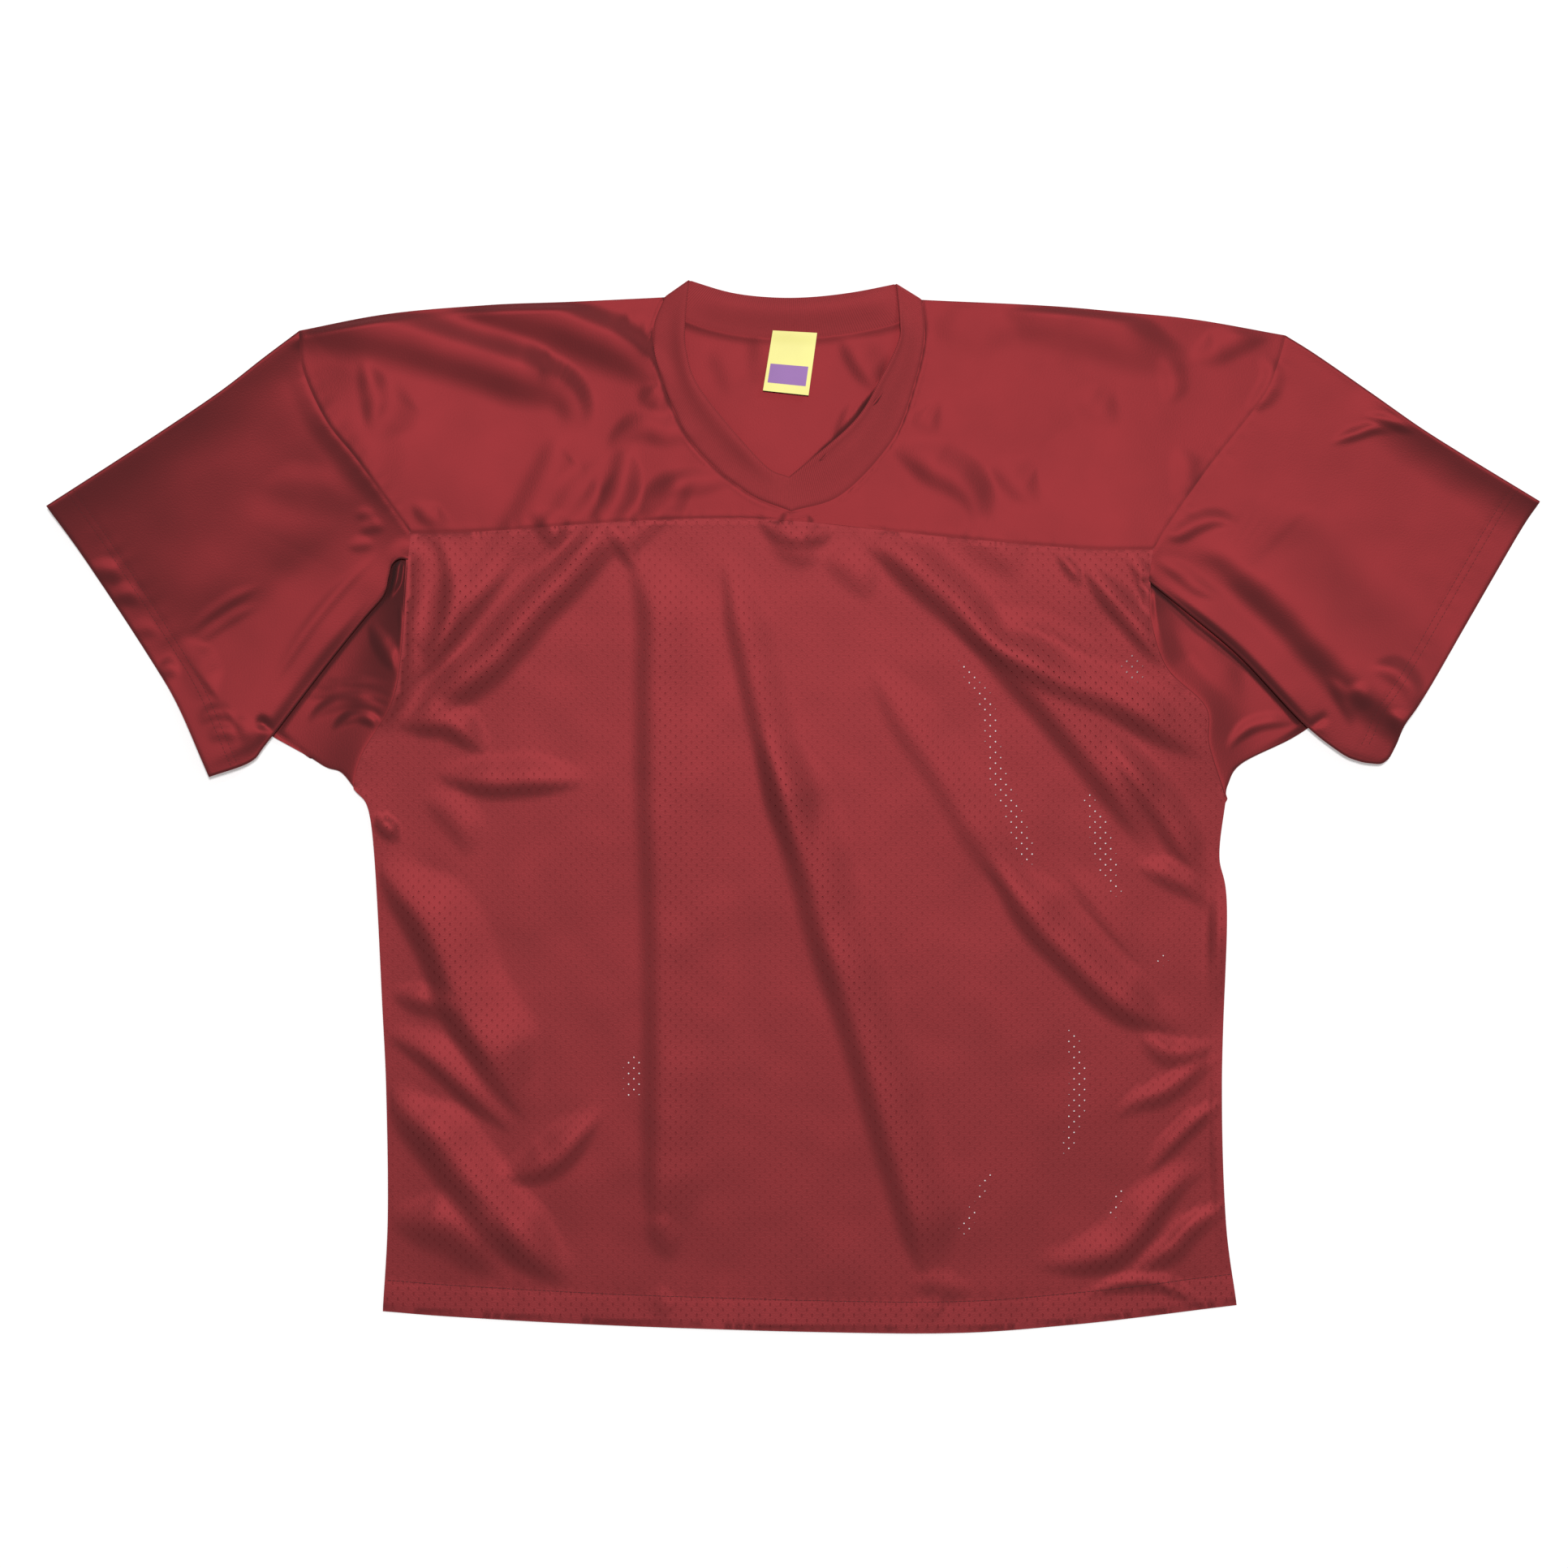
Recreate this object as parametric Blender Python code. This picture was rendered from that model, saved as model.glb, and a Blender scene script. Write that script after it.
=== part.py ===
"""V-neck football jersey, laid flat with its front up, as thin cloth walls.

Metres, +Z up. The jersey lies on the plane z = 0 with its neck towards +Y. Sides are the
wearer's: right is at -X and left is at +X. Curves, folds and cloth sizes are in millimetres.

Back panels lie flat on the surface. Front panels lie on them, lifted by a relief of soft
folds. Sleeves are flattened tubes, each underarm gusset is folded in two, and the collar
is a flattened ring, so every piece is one closed wall.
"""
import bpy
import bmesh
import numpy as np

MM = 0.001

# Driving dimensions, in millimetres.
CLOTH = 1.2             # one layer of jersey cloth
HEM_CLOTH = 1.8         # cloth turned back on itself at a hem
RIB = 1.6               # doubled rib of the collar
LABEL = 1.0             # folded neck label
GAP = 0.3               # between pieces at a seam, and between layers
HEM_DEPTH = 25.0        # hem edge to its row of stitches
CUFF_DEPTH = 26.0       # sleeve edge to its row of stitches
HEM_STEP = 1.5          # width over which a hem reaches its full thickness
RIM_FADE = 20.0         # folds die out this far inside a closed edge
SLEEVE_LIFT = 3.7       # a sleeve climbs this far over its gusset
LIFT_FULL = 26.0        # full lift up to here from the underarm fold
LIFT_END = 62.0         # and none from here on
GUSSET_TUCK = 11.0      # width of gusset hidden under the sleeve's fold
GUSSET_PUFF = 2.0       # height of the gusset's own fold
COLLAR_STAND = (2.0, 5.0)   # how far the collar's inner edge stands up, right and left
LABEL_CURL = 0.6        # how far the label's free end lifts

# Numbers of faces along shared edges, so that neighbours meet vertex to vertex.
SHOULDER_FACES = 9
NECK_FACES = 10
YOKE_ROWS = 9
UNDERARM_ROWS = 2
GUSSET_ROWS = 9
SIDE_ROWS = 19
SLEEVE_ROWS = 13
GUSSET_COLUMNS = 5
COLLAR_ROWS = 4
NOSE_ANGLES = (90.0, 30.0, -30.0, -90.0)   # stations round a fold, from top to bottom

# Seams and outlines in plan, each a smooth curve through a few points (x, y).
CURVES = {
    "shoulder_right": [(-400, 385), (-329, 399), (-249, 407), (-183, 410), (-105, 414)],
    "shoulder_left": [(400, 383), (325, 396), (265, 402), (206, 407), (104, 412)],
    "neck_right": [(-105, 414), (-114, 388), (-109, 354), (-84, 298), (-40, 257), (-2, 240)],
    "neck_left": [(104, 412), (106, 382), (98, 344), (80, 298), (39, 254), (-2, 240)],
    "collar_inner_right": [(-85, 428), (-88, 395), (-87, 370), (-75, 338), (-26, 280), (-4, 268)],
    "collar_inner_left": [(83, 425), (86, 395), (85, 378), (71, 349), (48, 312), (-4, 268)],
    "back_neck_seam": [(-105, 414), (-88, 395), (-36, 382), (25, 382), (86, 394), (104, 412)],
    "back_neck_edge": [(-85, 428), (-52, 418), (-20, 414), (12, 414), (48, 418), (83, 425)],
    "armhole_right": [(-400, 385), (-397, 353), (-378, 312), (-352, 279), (-311, 222)],
    "armhole_left": [(400, 383), (393, 359), (380, 331), (335, 273), (305, 230), (292, 209)],
    "underarm_right": [(-311, 222), (-313, 200)],
    "underarm_left": [(292, 209), (288, 183)],
    "yoke_seam": [(-311, 222), (-249, 224), (-117, 233), (-10, 233), (118, 220), (232, 210), (292, 209)],
    "gusset_seam_right": [(-313, 200), (-317, 139), (-325, 87), (-350, 42), (-357, 15)],
    "gusset_seam_left": [(288, 183), (290, 150), (303, 112), (334, 81), (337, 50), (351, 6)],
    "side_right": [(-357, 15), (-343, -17), (-334, -170), (-331, -240), (-330, -334), (-334, -410)],
    "side_left": [(351, 6), (346, -40), (352, -83), (348, -225), (351, -334), (360, -405)],
    "hem": [(-334, -410), (-269, -415), (-111, -423), (107, -428), (226, -421), (360, -405)],
    "sleeve_top_right": [(-400, 385), (-428, 364), (-467, 334), (-527, 294), (-606, 244)],
    "sleeve_top_left": [(400, 383), (424, 368), (463, 341), (503, 312), (542, 287), (606, 248)],
    "cuff_right": [(-606, 244), (-575, 200), (-524, 122), (-500, 82), (-474, 24)],
    "cuff_left": [(606, 248), (588, 220), (531, 122), (507, 82), (483, 37)],
    "sleeve_fold_right": [(-313, 200), (-345, 158), (-382, 111), (-427, 52), (-441, 36), (-474, 24)],
    "sleeve_fold_left": [(288, 183), (323, 155), (363, 121), (412, 69), (443, 44), (483, 37)],
    "gusset_fold_right": [(-431, 68), (-408, 51), (-382, 33), (-368, 28), (-357, 15)],
    "gusset_fold_left": [(430, 72), (404, 55), (364, 35), (353, 18), (351, 6)],
}

# Closed edges, where front and back cloth lie together and no fold reaches.
CLOSED_EDGES = ("shoulder_right", "shoulder_left", "side_right", "side_left", "sleeve_top_right",
                "sleeve_top_left", "sleeve_fold_right", "sleeve_fold_left", "gusset_fold_right",
                "gusset_fold_left")

# Folds of the front cloth: name, height, width of the steep flank, width of the gentle flank,
# path. The gentle flank lies on the left hand of the path, and the steep flank is centred on it.
FOLDS = (
    ("chest_right_upper", 4.0, 22, 34, [(-215, 206), (-268, 141), (-314, 103)]),
    ("chest_right_lower", 5.0, 24, 55, [(-119, 242), (-175, 182), (-227, 115), (-282, 79), (-319, 65)]),
    ("rib_right_upper", 4.5, 20, 26, [(-321, 63), (-273, 55), (-251, 40)]),
    ("rib_right_lower", 4.0, 18, 32, [(-280, 21), (-227, 14), (-162, 24)]),
    ("waist_right", 6.0, 22, 45, [(-339, -50), (-299, -121), (-263, -193), (-220, -239)]),
    ("belly_right", 3.5, 22, 30, [(-227, -306), (-184, -287), (-155, -253)]),
    ("hip_right", 6.5, 26, 44, [(-323, -244), (-285, -311), (-234, -364), (-194, -381)]),
    ("drop_right", 4.0, 18, 48, [(-136, 199), (-124, 110), (-121, -17), (-117, -201), (-124, -321), (-112, -430)]),
    ("drop_centre", 5.5, 20, 60, [(-57, 189), (-26, 48), (15, -88), (57, -237), (96, -376), (114, -430)]),
    ("under_neck", 4.0, 20, 30, [(-25, 240), (-2, 219), (29, 225)]),
    ("chest_left", 6.0, 22, 60, [(51, 213), (123, 153), (180, 93), (240, 24), (288, -32)]),
    ("rib_left", 5.0, 20, 40, [(151, 134), (214, 100), (276, 69), (331, 38)]),
    ("armpit_left", 4.0, 18, 30, [(214, 204), (245, 172), (288, 122), (305, 106)]),
    ("flank_left", 4.0, 18, 32, [(261, 48), (286, 16), (307, -24)]),
    ("waist_left", 5.0, 22, 55, [(63, 86), (125, -3), (187, -96), (240, -152), (310, -182)]),
    ("hip_left", 5.0, 24, 40, [(180, -366), (228, -374), (286, -347), (339, -294)]),
    ("shoulder_right_lower", 6.0, 32, 40, [(-391, 372), (-314, 374), (-258, 353), (-203, 339), (-183, 325)]),
    ("shoulder_right_upper", 6.0, 32, 30, [(-290, 392), (-230, 395), (-183, 385), (-125, 354), (-107, 329)]),
    ("collarbone_right", 3.5, 20, 30, [(-172, 236), (-148, 284), (-123, 298), (-91, 298)]),
    ("collarbone_low", 3.5, 18, 26, [(-133, 236), (-102, 259), (-73, 263)]),
    ("collarbone_left", 4.0, 20, 30, [(81, 286), (101, 266), (133, 257), (145, 236)]),
    ("sleeve_left_fold", 6.5, 36, 60, [(329, 198), (363, 178), (398, 149), (426, 123), (449, 98)]),
    ("sleeve_right_hump", 8.0, 120, 60, [(-352, 262), (-383, 206), (-424, 167), (-486, 134), (-540, 112)]),
)

# Cloth and colour of each node.
FINISHES = {
    "dazzle": dict(colour=(0.33, 0.035, 0.040), roughness=0.42, metallic=0.0),
    "mesh": dict(colour=(0.27, 0.036, 0.042), roughness=0.62, metallic=0.0),
    "rib": dict(colour=(0.27, 0.034, 0.038), roughness=0.85, metallic=0.0),
    "label": dict(colour=(0.94, 0.82, 0.13), roughness=0.45, metallic=0.0),
}


# Curves ---------------------------------------------------------------------------------

def smooth(points, steps=16):
    """Catmull-Rom curve through the points, as a dense polyline."""
    knots = np.array(points, float)
    if len(knots) < 3:
        return knots
    padded = np.vstack([2 * knots[0] - knots[1], knots, 2 * knots[-1] - knots[-2]])
    t = np.linspace(0.0, 1.0, steps, endpoint=False)[:, None]
    spans = []
    for p0, p1, p2, p3 in zip(padded, padded[1:], padded[2:], padded[3:]):
        cubic = (3 * p1 - p0 - 3 * p2 + p3) * t ** 3 + (2 * p0 - 5 * p1 + 4 * p2 - p3) * t ** 2
        spans.append(p1 + 0.5 * (cubic + (p2 - p0) * t))
    return np.vstack(spans + [knots[-1:]])


def at_lengths(line, lengths):
    """Points of a polyline at given distances from its start."""
    travelled = np.concatenate([[0.0], np.cumsum(np.hypot(*np.diff(line, axis=0).T))])
    return np.column_stack([np.interp(lengths, travelled, line[:, axis]) for axis in (0, 1)])


def line_length(line):
    return float(np.hypot(*np.diff(line, axis=0).T).sum())


def sample(name, faces):
    """A named curve cut into equal faces."""
    line = smooth(CURVES[name])
    return at_lengths(line, np.linspace(0.0, line_length(line), faces + 1))


def sample_with_hem(name, faces, depth):
    """A named curve cut into equal faces, then a short step, then one face of hem."""
    line = smooth(CURVES[name])
    total = line_length(line)
    plain = np.linspace(0.0, total - depth - HEM_STEP, faces + 1)
    return at_lengths(line, np.concatenate([plain, [total - depth, total]]))


def join(*lines):
    """One polyline from several that share their end points."""
    return np.vstack([lines[0]] + [line[1:] for line in lines[1:]])


def distance_to(line, x, y):
    """Distance to a polyline, side of it (+1 on the left hand), and the share of it passed."""
    best = np.full(np.shape(x), np.inf)
    side = np.ones(np.shape(x))
    share = np.zeros(np.shape(x))
    lengths = np.hypot(*np.diff(line, axis=0).T)
    start = np.concatenate([[0.0], np.cumsum(lengths)])
    for index, (a, b) in enumerate(zip(line, line[1:])):
        along = (b - a) / lengths[index]
        dx, dy = x - a[0], y - a[1]
        t = np.clip(dx * along[0] + dy * along[1], 0.0, lengths[index])
        far = np.hypot(dx - t * along[0], dy - t * along[1])
        nearer = far < best
        best = np.where(nearer, far, best)
        side = np.where(nearer, np.where(along[0] * dy - along[1] * dx >= 0.0, 1.0, -1.0), side)
        share = np.where(nearer, (start[index] + t) / start[-1], share)
    return best, side, share


def ease(value):
    """Smooth step from 0 to 1."""
    value = np.clip(value, 0.0, 1.0)
    return value * value * (3.0 - 2.0 * value)


# Relief ---------------------------------------------------------------------------------

def fold_height(fold, x, y):
    """One soft fold: a steep flank, a crest and a gentle flank, dying out at both ends."""
    _, height, steep, gentle, path = fold
    far, side, share = distance_to(smooth(path, 6), x, y)
    across = far * side
    rise = ease(across / steep + 0.5)
    fall = 1.0 - ease((across - steep / 2) / gentle)
    ends = ease(share * 5.0) * ease((1.0 - share) * 5.0)
    return height * ends * np.where(across < steep / 2, rise, fall)


def relief(x, y):
    """Height of the front cloth above where it would lie flat."""
    height = sum(fold_height(fold, x, y) for fold in FOLDS)
    rim = np.min([distance_to(smooth(CURVES[name], 4), x, y)[0] for name in CLOSED_EDGES], axis=0)
    return height * ease(rim / RIM_FADE)


def sleeve_lift(x, y):
    """How far cloth near an underarm fold is carried up by the gusset below it."""
    near = [distance_to(smooth(CURVES[name][:4], 4), x, y)[0]
            for name in ("sleeve_fold_right", "sleeve_fold_left")]
    return SLEEVE_LIFT * (1.0 - ease((np.min(near, axis=0) - LIFT_FULL) / (LIFT_END - LIFT_FULL)))


# Grids ----------------------------------------------------------------------------------

def coons(top, bottom, left, right):
    """Plan grid between four edges: rows from top to bottom, columns from left to right."""
    v = np.linspace(0.0, 1.0, len(left))[:, None, None]
    u = np.linspace(0.0, 1.0, len(top))[None, :, None]
    across = (1 - v) * top[None] + v * bottom[None]
    down = (1 - u) * left[:, None] + u * right[:, None]
    corners = ((1 - v) * ((1 - u) * top[0] + u * top[-1])
               + v * ((1 - u) * bottom[0] + u * bottom[-1]))
    return across + down - corners


def pull_in(edge, neighbour, distance=GAP / 2):
    """An edge of a grid moved squarely towards the row or column beside it."""
    along = np.gradient(edge, axis=0)
    normal = np.column_stack([-along[:, 1], along[:, 0]])
    normal /= np.linalg.norm(normal, axis=1)[:, None]
    inward = np.sign(np.sum(normal * (neighbour - edge), axis=1))[:, None]
    return edge + normal * inward * distance


def with_gaps(grid, top=False, bottom=False, left=(0, 0), right=(0, 0)):
    """A grid with its sewn edges pulled in. left and right give the sewn rows, first to last."""
    moved = grid.copy()
    if top:
        moved[0] += pull_in(grid[0], grid[1]) - grid[0]
    if bottom:
        moved[-1] += pull_in(grid[-1], grid[-2]) - grid[-1]
    for column, beside, (first, last) in ((0, 1, left), (-1, -2, right)):
        rows = slice(first, last)
        moved[rows, column] += (pull_in(grid[:, column], grid[:, beside]) - grid[:, column])[rows]
    return moved


# Solids ---------------------------------------------------------------------------------

def finish(name, vertices, faces, cloth):
    """One named object from vertices in millimetres, with its faces turned outwards."""
    mesh = bpy.data.meshes.new(name)
    mesh.from_pydata([tuple(float(c) * MM for c in vertex) for vertex in vertices], [], faces)
    work = bmesh.new()
    work.from_mesh(mesh)
    bmesh.ops.recalc_face_normals(work, faces=work.faces)
    bmesh.ops.triangulate(work, faces=work.faces)
    work.to_mesh(mesh)
    work.free()
    obj = bpy.data.objects.new(name, mesh)
    bpy.context.scene.collection.objects.link(obj)
    mesh.materials.append(material(cloth))
    mesh.shade_smooth()
    mesh.set_sharp_from_angle(angle=np.radians(35.0))
    return obj


def material(cloth):
    """The Principled material of a cloth, made once."""
    if cloth in bpy.data.materials:
        return bpy.data.materials[cloth]
    made = bpy.data.materials.new(cloth)
    made.use_nodes = True
    shader = made.node_tree.nodes["Principled BSDF"]
    shader.inputs["Base Color"].default_value = (*FINISHES[cloth]["colour"], 1.0)
    shader.inputs["Roughness"].default_value = FINISHES[cloth]["roughness"]
    shader.inputs["Metallic"].default_value = FINISHES[cloth]["metallic"]
    return made


def skins(name, upper, lower, cloth, closed=False):
    """Closed solid between two matching grids of points. closed joins last row to first."""
    rows, columns = upper.shape[:2]
    vertices = np.concatenate([upper.reshape(-1, 3), lower.reshape(-1, 3)])
    index = np.arange(rows * columns).reshape(rows, columns)
    if closed:
        index = np.vstack([index, index[:1]])
    under = index + rows * columns
    faces = []
    for r in range(len(index) - 1):
        for c in range(columns - 1):
            quad = (index[r, c], index[r, c + 1], index[r + 1, c + 1], index[r + 1, c])
            faces.append(tuple(int(i) for i in quad))
            faces.append(tuple(int(i) + rows * columns for i in reversed(quad)))
    rims = [(index[:, 0], under[:, 0]), (index[:, -1], under[:, -1])]
    if not closed:
        rims += [(index[0], under[0]), (index[-1], under[-1])]
    for over, below in rims:
        for k in range(len(over) - 1):
            faces.append(tuple(int(i) for i in (over[k], below[k], below[k + 1], over[k + 1])))
    return finish(name, vertices, faces, cloth)


def panel(name, plan, bottom, thickness, cloth):
    """A wall of cloth whose underside has the given heights over a plan grid."""
    lower = np.dstack([plan, bottom])
    upper = np.dstack([plan, bottom + thickness])
    return skins(name, upper, lower, cloth)


def flat_panel(name, outline, thickness, cloth):
    """A flat sheet of cloth on the surface, inside a closed plan outline."""
    count = len(outline)
    vertices = [(x, y, z) for z in (0.0, thickness) for x, y in outline]
    faces = [tuple(range(count)), tuple(range(2 * count - 1, count - 1, -1))]
    for k in range(count):
        faces.append((k, (k + 1) % count, count + (k + 1) % count, count + k))
    return finish(name, vertices, faces, cloth)


def folded_edge(edge, beside, high, low, thickness):
    """Stations round a fold, top to bottom: middle points and normals, one for each row."""
    inward = beside - edge
    inward /= np.linalg.norm(inward, axis=1)[:, None]
    radius = (high - low)[:, None] / 2
    centre = edge + inward * (radius + thickness[:, None] / 2)
    stations = []
    for angle in np.radians(NOSE_ANGLES):
        plan = centre - inward * radius * np.cos(angle)
        height = (high + low)[:, None] / 2 + radius * np.sin(angle)
        normal = np.column_stack([-inward * np.cos(angle), np.full(len(edge), np.sin(angle))])
        stations.append((np.column_stack([plan, height]), normal))
    return stations


def level(plan, height, direction):
    """A station that is not on a fold, with its normal straight up or down."""
    normal = np.tile((0.0, 0.0, direction), (len(plan), 1))
    return np.column_stack([plan, height]), normal


def wall(name, stations, thickness, cloth, closed):
    """Solid of a given thickness about stations of middle points and their normals."""
    middle = np.array([points for points, _ in stations])
    offset = np.array([normals for _, normals in stations]) * (thickness / 2)[None, :, None]
    return skins(name, middle + offset, middle - offset, cloth, closed)


# Pieces ---------------------------------------------------------------------------------

def body_sides(side):
    """Side edge of a body panel from the yoke seam down to the hem."""
    return join(sample("underarm_" + side, UNDERARM_ROWS), sample("gusset_seam_" + side, GUSSET_ROWS),
                sample_with_hem("side_" + side, SIDE_ROWS, HEM_DEPTH))


def body_plan():
    """Plan grid of front and back body, with its sewn edges pulled in."""
    columns = 2 * (SHOULDER_FACES + NECK_FACES)
    sewn = (0, UNDERARM_ROWS + GUSSET_ROWS + 1)
    grid = coons(sample("yoke_seam", columns), sample("hem", columns), body_sides("right"),
                 body_sides("left"))
    return with_gaps(grid, top=True, left=sewn, right=sewn)


def yoke_plan(neck):
    """Plan grid of a yoke whose top edge runs along the shoulders and the given neck edge."""
    top = join(sample("shoulder_right", SHOULDER_FACES), neck,
               sample("shoulder_left", SHOULDER_FACES)[::-1])
    grid = coons(top, sample("yoke_seam", len(top) - 1), sample("armhole_right", YOKE_ROWS),
                 sample("armhole_left", YOKE_ROWS))
    gapped = with_gaps(grid, top=True, bottom=True, left=(0, YOKE_ROWS + 1), right=(0, YOKE_ROWS + 1))
    for shoulder in (slice(1, SHOULDER_FACES), slice(-SHOULDER_FACES, -1)):
        gapped[0, shoulder] = grid[0, shoulder]
    return gapped


def front_neck():
    """Seam between front yoke and collar, from the right shoulder to the left."""
    return join(sample("neck_right", NECK_FACES), sample("neck_left", NECK_FACES)[::-1])


def back_neck():
    """Seam between back yoke and collar."""
    return sample("back_neck_seam", 2 * NECK_FACES)


def ring_of(plan):
    """Closed outline of a plan grid."""
    return np.vstack([plan[0], plan[1:, -1], plan[-1, -2::-1], plan[-2:0:-1, 0]])


def front_height(plan):
    """Underside of front cloth that lies over one layer of back cloth."""
    x, y = plan[..., 0], plan[..., 1]
    return CLOTH + GAP + relief(x, y) + sleeve_lift(x, y)


def build_body():
    plan = body_plan()
    flat_panel("back_body", ring_of(plan), CLOTH, "mesh")
    thickness = np.full(plan.shape[:2], CLOTH)
    thickness[-2:] = HEM_CLOTH
    panel("front_body", plan, front_height(plan), thickness, "mesh")


def build_yokes():
    flat_panel("back_yoke", ring_of(yoke_plan(back_neck())), CLOTH, "dazzle")
    plan = yoke_plan(front_neck())
    panel("front_yoke", plan, front_height(plan), np.full(plan.shape[:2], CLOTH), "dazzle")


def build_sleeve(side):
    """A flattened tube: folded at its top edge and at the underarm, open at both ends."""
    armhole = join(sample("armhole_" + side, YOKE_ROWS), sample("underarm_" + side, UNDERARM_ROWS))
    cuff = sample("cuff_" + side, len(armhole) - 1)
    grid = coons(armhole, cuff, sample_with_hem("sleeve_top_" + side, SLEEVE_ROWS, CUFF_DEPTH),
                 sample_with_hem("sleeve_fold_" + side, SLEEVE_ROWS, CUFF_DEPTH))
    grid = with_gaps(grid, top=True)
    thickness = np.full(len(grid), CLOTH)
    thickness[-2:] = HEM_CLOTH
    x, y = grid[..., 0], grid[..., 1]
    low = thickness[:, None] / 2 + sleeve_lift(x, y)
    high = low + thickness[:, None] + GAP + relief(x, y)
    inner = range(1, grid.shape[1] - 1)
    top_fold = folded_edge(grid[:, 0], grid[:, 1], high[:, 0], low[:, 0], thickness)
    under_fold = folded_edge(grid[:, -1], grid[:, -2], high[:, -1], low[:, -1], thickness)
    stations = top_fold[::-1] + [level(grid[:, c], high[:, c], 1.0) for c in inner]
    stations += under_fold + [level(grid[:, c], low[:, c], -1.0) for c in reversed(inner)]
    wall("sleeve_" + side, stations, thickness, "dazzle", closed=True)


def gusset_plan(side):
    """Plan grid of one half of a gusset, from the edge under the sleeve to the body seam."""
    seam = sample("gusset_seam_" + side, GUSSET_ROWS)
    fold = smooth(CURVES["sleeve_fold_" + side][:4])
    end = np.array(CURVES["gusset_fold_" + side][0], float)
    outward = -1.0 if side == "right" else 1.0
    start = seam[0] + np.array([outward, 0.55]) * GUSSET_TUCK * 0.8
    tucked = at_lengths(fold, np.linspace(0.0, line_length(fold), GUSSET_ROWS + 1))
    tucked = tucked + np.array([outward * 0.75, 0.66]) * GUSSET_TUCK
    tucked[0], tucked[-1] = start, end
    top = np.linspace(start, seam[0], GUSSET_COLUMNS + 1)
    bottom = sample("gusset_fold_" + side, GUSSET_COLUMNS)
    return with_gaps(coons(top, bottom, tucked, seam), right=(0, GUSSET_ROWS + 1))


def build_gusset(side):
    """An underarm panel folded in two along the outline, with its halves on each other."""
    grid = gusset_plan(side)
    rows, columns = grid.shape[:2]
    x, y = grid[..., 0], grid[..., 1]
    clear, hand, _ = distance_to(smooth(CURVES["sleeve_fold_" + side][:4]), x, y)
    shown = hand if side == "right" else -hand
    rim = np.minimum(distance_to(grid[:, -1], x, y)[0], distance_to(grid[-1], x, y)[0])
    puff = GUSSET_PUFF * ease(clear * shown / RIM_FADE) * ease(rim / RIM_FADE)
    low = np.full((rows, columns), CLOTH / 2)
    high = low + CLOTH + GAP + puff
    thickness = np.full(columns, CLOTH)
    fold = folded_edge(grid[-1], grid[-2], high[-1], low[-1], thickness)
    stations = [level(grid[r], high[r], 1.0) for r in range(rows - 1)] + fold
    stations += [level(grid[r], low[r], -1.0) for r in reversed(range(rows - 1))]
    wall("gusset_" + side, stations, thickness, "dazzle", closed=False)


def collar_lines():
    """Plan of the collar's rows, inner edge to sewn edge, for its front half and back half."""
    front_inner = join(sample("collar_inner_right", NECK_FACES),
                       sample("collar_inner_left", NECK_FACES)[::-1])
    share = np.linspace(0.0, 1.0, COLLAR_ROWS + 1)[None, :, None]
    front = (1 - share) * front_inner[:, None] + share * front_neck()[:, None]
    back_inner = sample("back_neck_edge", 2 * NECK_FACES)
    back = (1 - share) * back_inner[:, None] + share * back_neck()[:, None]
    for band in (front, back):
        band[1:-1, -1] = pull_in(band[:, -1], band[:, 0])[1:-1]
    return front, back


def build_collar():
    """A ring of rib, flattened: its front half lies in a V over its back half."""
    front, back = collar_lines()
    thickness = np.full(COLLAR_ROWS + 1, RIB)
    low = np.full(COLLAR_ROWS + 1, RIB / 2)
    high = low + RIB + GAP
    outer_share = np.linspace(0.0, 1.0, COLLAR_ROWS + 1)
    stations = []
    last = len(front) - 1
    for k in range(1, last):
        x, y = front[k, :, 0], front[k, :, 1]
        arm = 0 if k < NECK_FACES else 1
        from_ends = ease(np.sin(np.pi * (k % NECK_FACES) / NECK_FACES) * 1.4)
        stand = COLLAR_STAND[arm] * from_ends * (1.0 - outer_share) ** 2
        stations.append(level(front[k], high + relief(x, y) + stand, 1.0))
    left_turn = folded_edge(front[-1], front[-1] + corner_inward(front[-1]), high, low, thickness)
    right_turn = folded_edge(front[0], front[0] + corner_inward(front[0]), high, low, thickness)
    stations += left_turn
    stations += [level(back[k], low, -1.0) for k in range(last - 1, 0, -1)]
    stations += right_turn[::-1]
    wall("collar", stations, thickness, "rib", closed=True)


def corner_inward(fold):
    """Direction square to the collar's fold line, pointing down into the garment."""
    along = fold[-1] - fold[0]
    square = np.array([-along[1], along[0]])
    if square[1] > 0.0:
        square = -square
    return np.tile(square / np.linalg.norm(square), (len(fold), 1))


def build_label():
    """A folded label sewn into the back neck seam, with its free end curling up."""
    corners = np.array([(-17, 387), (19, 385), (12, 334), (-25, 338)], float)
    rows, columns = 5, 3
    v = np.linspace(0.0, 1.0, rows)[:, None, None]
    u = np.linspace(0.0, 1.0, columns)[None, :, None]
    top = corners[0] + (corners[1] - corners[0]) * u
    bottom = corners[3] + (corners[2] - corners[3]) * u
    plan = (1 - v) * top + v * bottom
    sewn = RIB + GAP
    bed = CLOTH + GAP
    drop = (sewn - bed) * ease(v[..., 0] * 4.0)
    height = sewn - drop + LABEL_CURL * v[..., 0] ** 2 + np.zeros((rows, columns))
    panel("neck_label", plan, height, np.full((rows, columns), LABEL), "label")


def build():
    for obj in list(bpy.data.objects):
        bpy.data.objects.remove(obj, do_unlink=True)
    build_body()
    build_yokes()
    for side in ("right", "left"):
        build_gusset(side)
        build_sleeve(side)
    build_collar()
    build_label()


build()
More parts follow.
